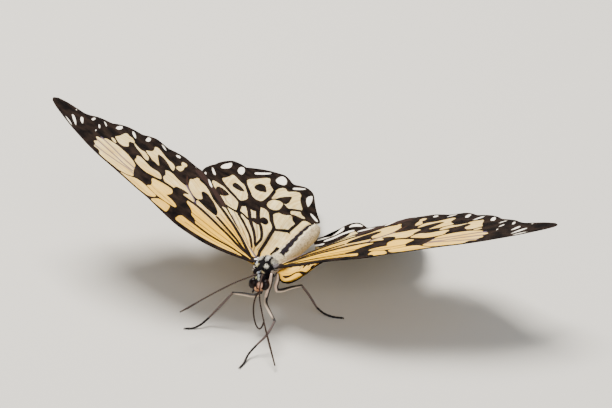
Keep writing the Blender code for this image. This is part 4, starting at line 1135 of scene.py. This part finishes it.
def tube(stations, sides=12, step=0.2, ripple=0.0, pitch=1.0):
    """One closed round member: its middle line and radius run smoothly through
    the stations, the radius shrinks by the ripple at each pitch, and each end
    closes in a dome. Returns places, faces, how far each place looks into each
    direction, and the run from the start to the end."""
    rows = flow(stations, False, step)
    centre = rows[:, :3] + np.array([THORAX_AT[0], THORAX_AT[1], 0.0])
    length = np.concatenate([[0.0], np.cumsum(np.linalg.norm(np.diff(centre, axis=0), axis=1))])
    radius = rows[:, 3] * (1.0 - ripple * np.cos(math.pi * length / pitch) ** 8)
    ahead = unit(np.gradient(centre, axis=0))
    steady = np.eye(3)[np.argmin(np.abs(ahead).max(axis=0))]
    sideways = unit(np.cross(ahead, steady))
    other = np.cross(ahead, sideways)
    first = ahead[0] * radius[0] * DOME_LONG * np.sin(DOME_TURNS)[:, None]
    last = ahead[-1] * radius[-1] * DOME_LONG * np.sin(DOME_TURNS[::-1])[:, None]
    centre = np.concatenate([centre[0] - first, centre, centre[-1] + last])
    radius = np.concatenate([radius[0] * np.cos(DOME_TURNS), radius, radius[-1] * np.cos(DOME_TURNS[::-1])])
    pad = [(len(DOME_TURNS), len(DOME_TURNS)), (0, 0)]
    sideways, other = np.pad(sideways, pad, "edge"), np.pad(other, pad, "edge")
    turn = 2.0 * math.pi * (np.arange(sides) + 0.5) / sides
    way = np.cos(turn)[:, None] * sideways[:, None] + np.sin(turn)[:, None] * other[:, None]
    rings = centre[:, None] + radius[:, None, None] * way
    rings[..., 2] = np.maximum(rings[..., 2], 0.0)
    start = centre[0] - ahead[0] * radius[0] * DOME_POINT
    end = centre[-1] + ahead[-1] * radius[-1] * DOME_POINT
    verts, faces = shell(rings, start, end)
    run = np.repeat(np.linspace(0.0, 1.0, len(centre)), sides)
    return verts, faces, np.concatenate([way.reshape(-1, 3), np.zeros((2, 3))]), np.append(run, [0.0, 1.0])


def gather(name, shells, material, slot, *nodes):
    """Several closed shells as one piece, each with its own colours."""
    verts, faces, hues = [], [], []
    count = 0
    for v, f, hue in shells:
        verts.append(v)
        faces.extend([i + count for i in face] for face in f)
        hues.append(np.zeros((len(v), 3)) + hue)
        count += len(v)
    item = make(name, np.concatenate(verts), faces, {"hue": np.concatenate(hues)})
    return dress(item, material, slot, *nodes)


def egg(place, middle, half, rows=24, sides=36):
    """A closed egg: the middle plus the half sizes times the sine and cosine
    of two turns, with the first axis from end to end."""
    lift = math.pi * (np.arange(1, rows) / rows)[:, None]
    turn = 2.0 * math.pi * np.arange(sides) / sides
    rings = place(middle[0] + half[0] * np.cos(lift),
                  middle[1] + half[1] * np.sin(lift) * np.sin(turn),
                  middle[2] + half[2] * np.sin(lift) * np.cos(turn))
    ends = [place(middle[0] + half[0] * s, middle[1], middle[2]) for s in (1.0, -1.0)]
    return shell(rings, ends[0], ends[1])


# A hair is a three-sided spike of seven places: a ring of three, a second one
# and the tip. Its thickness, the second ring's share of it, and how far the
# second ring stands along the hair and off it are shares of its length.
SPIKE_THICK = 0.09
SPIKE_THINNER = 0.8
SPIKE_BEND = 0.55
SPIKE_OFF = 0.08
SPIKE_FACES = np.array([(2, 1, 0), (0, 1, 4), (0, 4, 3), (1, 2, 5), (1, 5, 4), (2, 0, 3), (2, 3, 5),
                        (3, 4, 6), (4, 5, 6), (5, 3, 6)])
# Its places in the flat map, round the place of its root, their size, and the
# rim that the map leaves free.
SPIKE_FLAT = np.array([(-1, -1), (1, -1), (0, -0.4), (-0.8, 0.4), (0.8, 0.4), (0, 0.6), (0, 1)])
FLAT_SIZE = 0.0015
FLAT_RIM = 0.05
# The skin is bare ahead of this place on the face. On the head's sides, where
# the cosine of the turn is over this, it is bare ahead of the eyes' rear.
FACE_ALONG = -6.9
EYES_ALONG = -4.7
SIDE_COSINE = 0.7
# How deep the roots stand, and the reach of chance on a hair's lean, on its
# length and shade, and on its way.
ROOT_DEEP = -0.05
LEAN_REACH = (0.5, 1.4)
LENGTH_REACH = (0.7, 1.3)
SHADE_REACH = (0.55, 1.25)
STRAY = 0.25


def spikes(root, lie, square, length):
    """Spikes from their roots: each stands on a ring of three places, bends
    over in a second ring, and ends in a point."""
    thick = SPIKE_THICK * length
    first = unit(np.cross(lie, square))
    second = np.cross(lie, first)
    three = 2.0 * math.pi * np.arange(3) / 3.0
    ring = np.cos(three)[:, None] * first[:, None] + np.sin(three)[:, None] * second[:, None]
    bend = root + lie * length * SPIKE_BEND + square * length * SPIKE_OFF
    tip = root + lie * length
    verts = np.concatenate([root[:, None] + ring * thick[:, None],
                            bend[:, None] + ring * thick[:, None] * SPIKE_THINNER, tip[:, None]], 1)
    faces = SPIKE_FACES[None] + verts.shape[1] * np.arange(len(root))[:, None, None]
    return verts.reshape(-1, 3), faces.reshape(-1, 3)


def tufts(name, count, low, high, size, rise, seed, slot, material):
    """Short hair: spikes that lie back along the skin. Their places, lean,
    length and shade are drawn by chance, and each has the colour of the skin
    at its root, darker or lighter."""
    rng = np.random.default_rng(seed)
    along = rng.uniform(low, high, count)
    turn = rng.uniform(0.0, 2.0 * math.pi, count)
    beside_eye = (np.abs(np.cos(turn)) > SIDE_COSINE) & (along < EYES_ALONG)
    bare = beside_eye | (along < FACE_ALONG)
    along, turn = along[~bare], turn[~bare]
    n = len(along)
    root = skin_place(along, turn, ROOT_DEEP)
    back = unit(skin_place(along + 0.05, turn) - skin_place(along - 0.05, turn))
    across = skin_place(along, turn + 0.02) - skin_place(along, turn - 0.02)
    square = unit(np.cross(back, across))
    square *= np.sign(np.einsum("ij,ij->i", square, root - skin_place(along, turn, -0.3)))[:, None]
    lean = rise * rng.uniform(*LEAN_REACH, n)[:, None]
    stray = STRAY * rng.standard_normal((n, 3))
    lie = unit(back * np.cos(lean) + square * np.sin(lean) + stray)
    length = (size * rng.uniform(*LENGTH_REACH, n))[:, None]
    verts, faces = spikes(root, lie, square, length)
    left, up = skin_frame(along, turn)
    hue = skin_hue(left, up, along) * rng.uniform(*SHADE_REACH, n)[:, None]
    at = np.stack([turn / (2.0 * math.pi), (along - low) / (high - low)], -1)
    at = FLAT_RIM + (1.0 - 2.0 * FLAT_RIM) * at
    flat = (at[:, None] + FLAT_SIZE * SPIKE_FLAT[None]).reshape(-1, 2)
    item = make(name, verts, faces, {"hue": np.repeat(hue, len(SPIKE_FLAT), axis=0)}, flat)
    return dress(item, material, slot)


# The skin of head, thorax and abdomen.
along = np.append(np.arange(SKIN_START, SKIN_END, SKIN_STEP), SKIN_END)[:, None]
turn = 2.0 * math.pi * np.arange(BODY_SIDES)[None] / BODY_SIDES
left, up = skin_frame(along, turn)
skin_verts, skin_faces = shell(head_point(left, up, along), head_point(*FACE_POINT),
                               head_point(ABDOMEN_BEND, TAIL_UP, TAIL_ALONG))
end_hues = skin_hue(FACE_POINT[0], FACE_POINT[1], [SKIN_START, SKIN_END])
hues = np.concatenate([skin_hue(left, up, along).reshape(-1, 3), end_hues])
specks = np.append(speckled(left, along).ravel(), [0.0, 0.0])
body = make("look_body", skin_verts, skin_faces, {"hue": hues, "speck": specks})
skin_scales = scale_look("body scales", rough=0.8, gloss=0.1, specks=True)
dress(body, skin_scales, "thorax", "thorax", "abdomen", "head")

# The soft hinges between the thorax and the wings: middle, half sizes, colour.
HINGES = (
    ((2.5, 1.4, -0.6), (0.7, 0.35, 1.4), colour(84, 78, 80)), ((-2.5, 1.45, -0.6), (0.75, 0.4, 1.5), BLACK),
    ((2.3, 0.1, 0.2), (0.8, 0.35, 1.8), colour(196, 168, 140)), ((-2.3, 0.1, 0.2), (0.8, 0.35, 1.8), BLACK),
    ((-2.6, 1.75, -0.7), (0.45, 0.22, 0.5), WHITE), ((-2.45, 1.75, 0.5), (0.3, 0.2, 0.4), GREY_WHITE),
)
hinge_shells = [egg(body_point, middle, half) + (tint[:3],) for middle, half, tint in HINGES]
hair_scales = scale_look("hair", rough=0.75, gloss=0.15)
gather("look_hinges", hinge_shells, hair_scales, "thorax")
# The coats: how many hairs, from where to where along the body, their length,
# how steeply they stand, the seed and the slot.
COATS = {
    "thorax": (10000, -3.9, 4.4, 0.7, 0.5, 11, "thorax"),
    "head": (3200, -7.0, -3.9, 0.4, 0.5, 12, "head"),
    "abdomen_front": (4500, 4.2, 9.5, 0.6, 0.4, 13, "abdomen"),
    "abdomen": (15000, 9.3, 37.2, 0.4, 0.3, 14, "abdomen"),
}
for word, coat in COATS.items():
    tufts("look_hair_" + word, *coat, hair_scales)

# The eyes: the left one's middle in the head's frame, and its half sizes.
EYE_MIDDLE = (1.42, -2.1, -5.8)
EYE_HALF = (1.1, 1.38, 1.17)
EYE_BLACK = colour(8, 5, 5)
# Painted glints: brown flecks from noise over the black stand in for the sparkle of the eyes' facets.
EYE_PAINTED_GLINT = colour(30, 14, 9)
EYE_FINE = 700.0
eye_look = Look("eye", rough=0.3, gloss=0.14)
glint = eye_look.step(eye_look.noise(EYE_FINE, 2.0), 0.35, 0.7)
eye_skin = eye_look.paint(eye_look.mix(glint, EYE_BLACK, EYE_PAINTED_GLINT))
for side, word in ((-1, "right"), (1, "left")):
    v, f = egg(head_point, (side * EYE_MIDDLE[0],) + EYE_MIDDLE[1:], EYE_HALF, rows=36, sides=48)
    dress(make("look_eye_" + word, v, f), eye_skin, "eye", "eye_" + word)

# How each length of a member is coloured: dark, pale, where the pale side looks
# (left, back, up), and the share of the length at which the pale has faded out.
CREAM = colour(228, 204, 178)
PINK = colour(228, 196, 172)
UNFADED = 2.0
COXA = (BLACK, PINK, (-0.75, -0.6, 0.1), UNFADED)
FEMUR = (BLACK, CREAM, (-0.1, -0.3, -0.95), 1.0)
FEMUR_MID_LEFT = (BLACK, CREAM, (-1.0, 0.15, 0.0), 0.9)
TIBIA = (colour(34, 26, 26), colour(92, 78, 74), (0.0, -0.5, 0.8), UNFADED)
TARSUS = (colour(12, 9, 10), colour(26, 20, 20), (0.0, -0.5, 0.8), UNFADED)
FEELER = (colour(24, 15, 11), colour(46, 30, 22), (0.0, -0.5, 0.8), UNFADED)
PALP = (colour(34, 22, 20), colour(228, 166, 122), (0.0, -0.4, 0.9), UNFADED)

# Stations of the members: left and back from the middle of the thorax, height
# over the floor, and radius.
LEGS = {
    "mid_right": (
        (COXA, (-0.9, -1.4, 11.4, 0.45), (-0.4, -3.4, 10.1, 0.48), (-0.5, -4.7, 9.3, 0.46)),
        (FEMUR, (-0.5, -4.7, 9.3, 0.46), (-1.6, -5.2, 9.1, 0.46), (-4.0, -5.5, 9.3, 0.4),
         (-6.5, -5.8, 9.3, 0.3)),
        (TIBIA, (-6.5, -5.8, 9.3, 0.26), (-9.2, -6.7, 5.8, 0.3), (-12.0, -7.5, 2.3, 0.24)),
        (TARSUS, (-12.0, -7.5, 2.3, 0.27), (-13.5, -9.0, 1.0, 0.27), (-15.2, -10.1, 0.28, 0.27),
         (-16.8, -10.7, 0.26, 0.25))),
    "mid_left": (
        (COXA, (2.5, -3.2, 14.6, 0.4), (2.4, -3.5, 13.2, 0.56), (2.1, -3.7, 11.8, 0.58),
         (1.9, -4.4, 10.6, 0.52), (1.75, -5.4, 9.2, 0.46)),
        (FEMUR_MID_LEFT, (1.75, -5.4, 9.2, 0.46), (2.4, -7.2, 8.4, 0.44), (5.9, -11.6, 7.3, 0.3)),
        (TIBIA, (5.9, -11.6, 7.3, 0.26), (4.8, -14.1, 4.9, 0.3), (2.8, -15.8, 2.65, 0.24)),
        (TARSUS, (2.8, -15.8, 2.65, 0.27), (1.5, -17.9, 1.2, 0.27), (1.2, -20.6, 0.28, 0.27),
         (0.9, -22.4, 0.26, 0.25))),
    "hind_left": (
        (COXA, (3.2, -0.6, 13.2, 0.4), (3.3, -0.9, 12.2, 0.5), (3.1, -1.0, 11.2, 0.52),
         (3.0, -1.5, 10.2, 0.5), (3.3, -1.8, 9.4, 0.48)),
        (FEMUR, (3.3, -1.8, 9.4, 0.48), (4.4, -1.2, 9.3, 0.46), (6.4, 0.2, 9.6, 0.38), (8.4, 1.6, 9.7, 0.3)),
        (TIBIA, (8.4, 1.6, 9.7, 0.26), (9.9, 3.2, 6.0, 0.3), (11.3, 4.45, 2.25, 0.24)),
        (TARSUS, (11.3, 4.45, 2.25, 0.27), (13.1, 4.5, 0.9, 0.27), (15.3, 4.6, 0.28, 0.27),
         (17.5, 4.8, 0.26, 0.25))),
    "hind_right": (
        (COXA, (-1.4, 0.4, 11.3, 0.45), (-2.2, 2.8, 10.0, 0.46)),
        (FEMUR, (-2.2, 2.8, 10.0, 0.46), (-3.25, 7.3, 9.0, 0.32)),
        (TIBIA, (-3.25, 7.3, 9.0, 0.26), (-3.6, 11.0, 5.8, 0.3), (-3.85, 14.4, 2.35, 0.24)),
        (TARSUS, (-3.85, 14.4, 2.35, 0.27), (-4.0, 16.5, 1.0, 0.27), (-4.2, 18.8, 0.28, 0.27),
         (-4.4, 21.0, 0.26, 0.25))),
}
FORELEGS = {
    "right": ((-0.9, -3.0, 12.1, 0.32), (-1.1, -4.6, 11.5, 0.36), (-1.2, -6.5, 10.9, 0.2)),
    "left": ((0.7, -3.0, 12.1, 0.32), (0.8, -4.6, 11.5, 0.36), (0.9, -6.5, 10.9, 0.2)),
}
FEELERS = {
    "right": ((-0.2, -6.2, 15.6, 0.24), (-0.5, -6.6, 15.9, 0.24), (-2.4, -7.5, 15.2, 0.18),
              (-6.2, -9.3, 13.5, 0.18), (-10.8, -13.2, 11.5, 0.19), (-13.4, -15.7, 10.3, 0.26),
              (-15.4, -17.7, 9.5, 0.17)),
    "left": ((1.2, -6.2, 15.7, 0.24), (1.3, -6.6, 16.2, 0.24), (1.5, -8.8, 15.2, 0.18),
             (1.8, -10.3, 13.4, 0.18), (2.1, -11.0, 11.6, 0.18), (3.3, -12.8, 9.2, 0.18),
             (4.7, -14.9, 7.0, 0.2), (6.5, -17.4, 4.4, 0.26), (9.0, -21.1, 1.5, 0.17)),
}
PALPS = {
    "right": ((0.5, -7.6, 12.3, 0.3), (0.4, -8.3, 12.7, 0.36), (0.3, -8.7, 13.3, 0.36),
              (0.3, -8.9, 14.0, 0.14)),
    "left": ((1.3, -7.3, 12.2, 0.3), (1.4, -7.9, 12.6, 0.36), (1.4, -8.4, 13.2, 0.36),
             (1.4, -8.6, 13.9, 0.14)),
}
TONGUE = ((0.6, -7.0, 12.1, 0.25), (0.5, -7.2, 11.6, 0.24), (-0.1, -7.6, 10.4, 0.22), (-0.5, -7.9, 8.5, 0.2),
          (-0.6, -7.9, 6.1, 0.2), (-0.4, -7.8, 4.0, 0.2), (0.0, -7.7, 2.4, 0.2), (0.6, -7.6, 1.6, 0.2),
          (1.2, -7.5, 2.0, 0.2), (1.6, -7.4, 3.1, 0.19), (1.8, -7.3, 4.2, 0.14))


# How far ahead of the foot's end and how far to its side a claw bends, and the
# same for its point. Its radius at the root, the bend and the point, how far it
# rises to the bend, and how high its point is over the floor.
CLAW_BEND = (0.3, 0.15)
CLAW_POINT = (0.55, 0.2)
CLAW_RADII = (0.09, 0.08, 0.04)
CLAW_RISE = 0.05
CLAW_HIGH = 0.08
# From how far a place looks the pale side's way it turns pale, and at which
# share of its reach the pale starts to fade.
PALE_EDGE = (-0.15, 0.25)
FADE_SHARE = 0.7


def claws(tarsus):
    """Two short hooks at the end of a foot. Each bends out and down: its places
    lie ahead of the foot's end along the foot, and to the side square to it."""
    (x0, y0, _, _), (x1, y1, z1, _) = tarsus[-2:]
    size = math.hypot(x1 - x0, y1 - y0)
    dx, dy = (x1 - x0) / size, (y1 - y0) / size
    hooks = []
    for s in (-1.0, 1.0):
        way = [(x1, y1, z1)]
        for (ahead, aside), height in ((CLAW_BEND, z1 + CLAW_RISE), (CLAW_POINT, CLAW_HIGH)):
            way.append((x1 + ahead * dx - aside * s * dy, y1 + ahead * dy + aside * s * dx, height))
        stations = [place + (radius,) for place, radius in zip(way, CLAW_RADII)]
        hooks.append(tube(stations, sides=8, step=0.08)[:2] + (BLACK[:3],))
    return hooks


def limb(style, stations, **shape):
    """One length of a member: dark, and pale where it looks the pale side's
    way."""
    dark, pale, looks, far = style
    v, f, way, run = tube(stations, **shape)
    looks = np.array(looks) / np.linalg.norm(looks)
    amount = ease(way @ looks, *PALE_EDGE) * (1.0 - ease(run, FADE_SHARE * far, far))
    return v, f, blend(np.zeros((len(v), 3)) + np.array(dark[:3]), pale, amount)


def pair(kind, slot, style, ways, material, **shape):
    """A right and a left member of one kind, each of one length."""
    for word, way in ways.items():
        gather("look_" + kind + "_" + word, [limb(style, way, **shape)], material, slot, kind + "_" + word)


leg_scales = scale_look("leg scales", rough=0.55, gloss=0.2)
for word, lengths in LEGS.items():
    shells = []
    for style, *stations in lengths:
        if style is TARSUS:
            shells.append(limb(style, stations, ripple=0.16, pitch=1.05, step=0.1))
            shells.extend(claws(stations))
        else:
            shells.append(limb(style, stations))
    gather("look_leg_" + word, shells, leg_scales, "leg", "femur_" + word, "tibia_" + word, "tarsus_" + word)
pair("foreleg", "leg", FEMUR, FORELEGS, leg_scales)
pair("antenna", "antenna", FEELER, FEELERS, leg_scales, ripple=0.16, pitch=0.45, step=0.08)
pair("palp", "palp", PALP, PALPS, leg_scales)
tongue = limb(FEELER, TONGUE, ripple=0.08, pitch=0.4, step=0.1)
gather("look_proboscis", [tongue], leg_scales, "proboscis", "proboscis")

# The pale floor.
FLOOR_HALF = 3.0
corners = [(x * FLOOR_HALF, y * FLOOR_HALF, 0.0) for x, y in ((-1, -1), (1, -1), (1, 1), (-1, 1))]
floor_mesh = bpy.data.meshes.new("floor")
floor_mesh.from_pydata(corners, [], [(0, 1, 2, 3)])
floor = bpy.data.objects.new("floor", floor_mesh)
bpy.context.scene.collection.objects.link(floor)
floor.data.materials.append(Look("pale floor", rough=0.9).paint(colour(196, 192, 184)))

# The place that the lamps face, in metres, and the light of the room.
LIT_PLACE = Vector((0.0, 0.0, 0.01))
ROOM_TINT = (0.9, 0.94, 1.0, 1.0)
ROOM_LIGHT = 0.48


def area(name, place, size, power, tint):
    """A soft square lamp that faces the animal."""
    lamp = bpy.data.lights.new(name, "AREA")
    lamp.size = size
    lamp.energy = power
    lamp.color = tint
    item = bpy.data.objects.new(name, lamp)
    bpy.context.scene.collection.objects.link(item)
    item.location = place
    item.rotation_euler = (LIT_PLACE - Vector(place)).to_track_quat("-Z", "Y").to_euler()


area("key", (-0.2, 0.15, 0.8), size=0.4, power=20.5, tint=(1.0, 0.97, 0.92))
area("fill", (0.5, -0.6, 0.45), size=0.6, power=4.5, tint=(0.96, 0.98, 1.0))
world = bpy.data.worlds.new("soft room")
world.use_nodes = True
world.node_tree.nodes["Background"].inputs["Color"].default_value = ROOM_TINT
world.node_tree.nodes["Background"].inputs["Strength"].default_value = ROOM_LIGHT
bpy.context.scene.world = world

# The camera stands before the animal: how far it is turned to the animal's
# left, how high it stands, how far off, its focal length in pixels, the size
# of the picture, and where the thorax lies in it.
CAMERA_TURN = math.radians(17.3)
CAMERA_RISE = math.radians(30.0)
CAMERA_OFF = 520.0
FOCAL_PIXELS = 2184.0
PHOTO_WIDE = 612.0
PHOTO_HIGH = 408.0
THORAX_PIXEL = (266.0, 268.0)
SENSOR_WIDE = 36.0
NEAREST = 0.01
right = np.array([math.cos(CAMERA_TURN), math.sin(CAMERA_TURN), 0.0])
back = np.array([math.sin(CAMERA_TURN) * math.cos(CAMERA_RISE),
                 -math.cos(CAMERA_TURN) * math.cos(CAMERA_RISE), math.sin(CAMERA_RISE)])
above = np.cross(back, right)
shift_right = (THORAX_PIXEL[0] - PHOTO_WIDE / 2.0) / FOCAL_PIXELS
shift_up = -(THORAX_PIXEL[1] - PHOTO_HIGH / 2.0) / FOCAL_PIXELS
stand = THORAX_AT + CAMERA_OFF * (back - right * shift_right - above * shift_up)
lens = bpy.data.cameras.new("camera")
lens.sensor_width = SENSOR_WIDE
lens.lens = FOCAL_PIXELS / PHOTO_WIDE * SENSOR_WIDE
lens.clip_start = NEAREST
camera = bpy.data.objects.new("camera", lens)
bpy.context.scene.collection.objects.link(camera)
turned = np.eye(4)
turned[:3] = np.column_stack([right, above, back, stand * MM])
camera.matrix_world = Matrix(turned.tolist())
bpy.context.scene.camera = camera
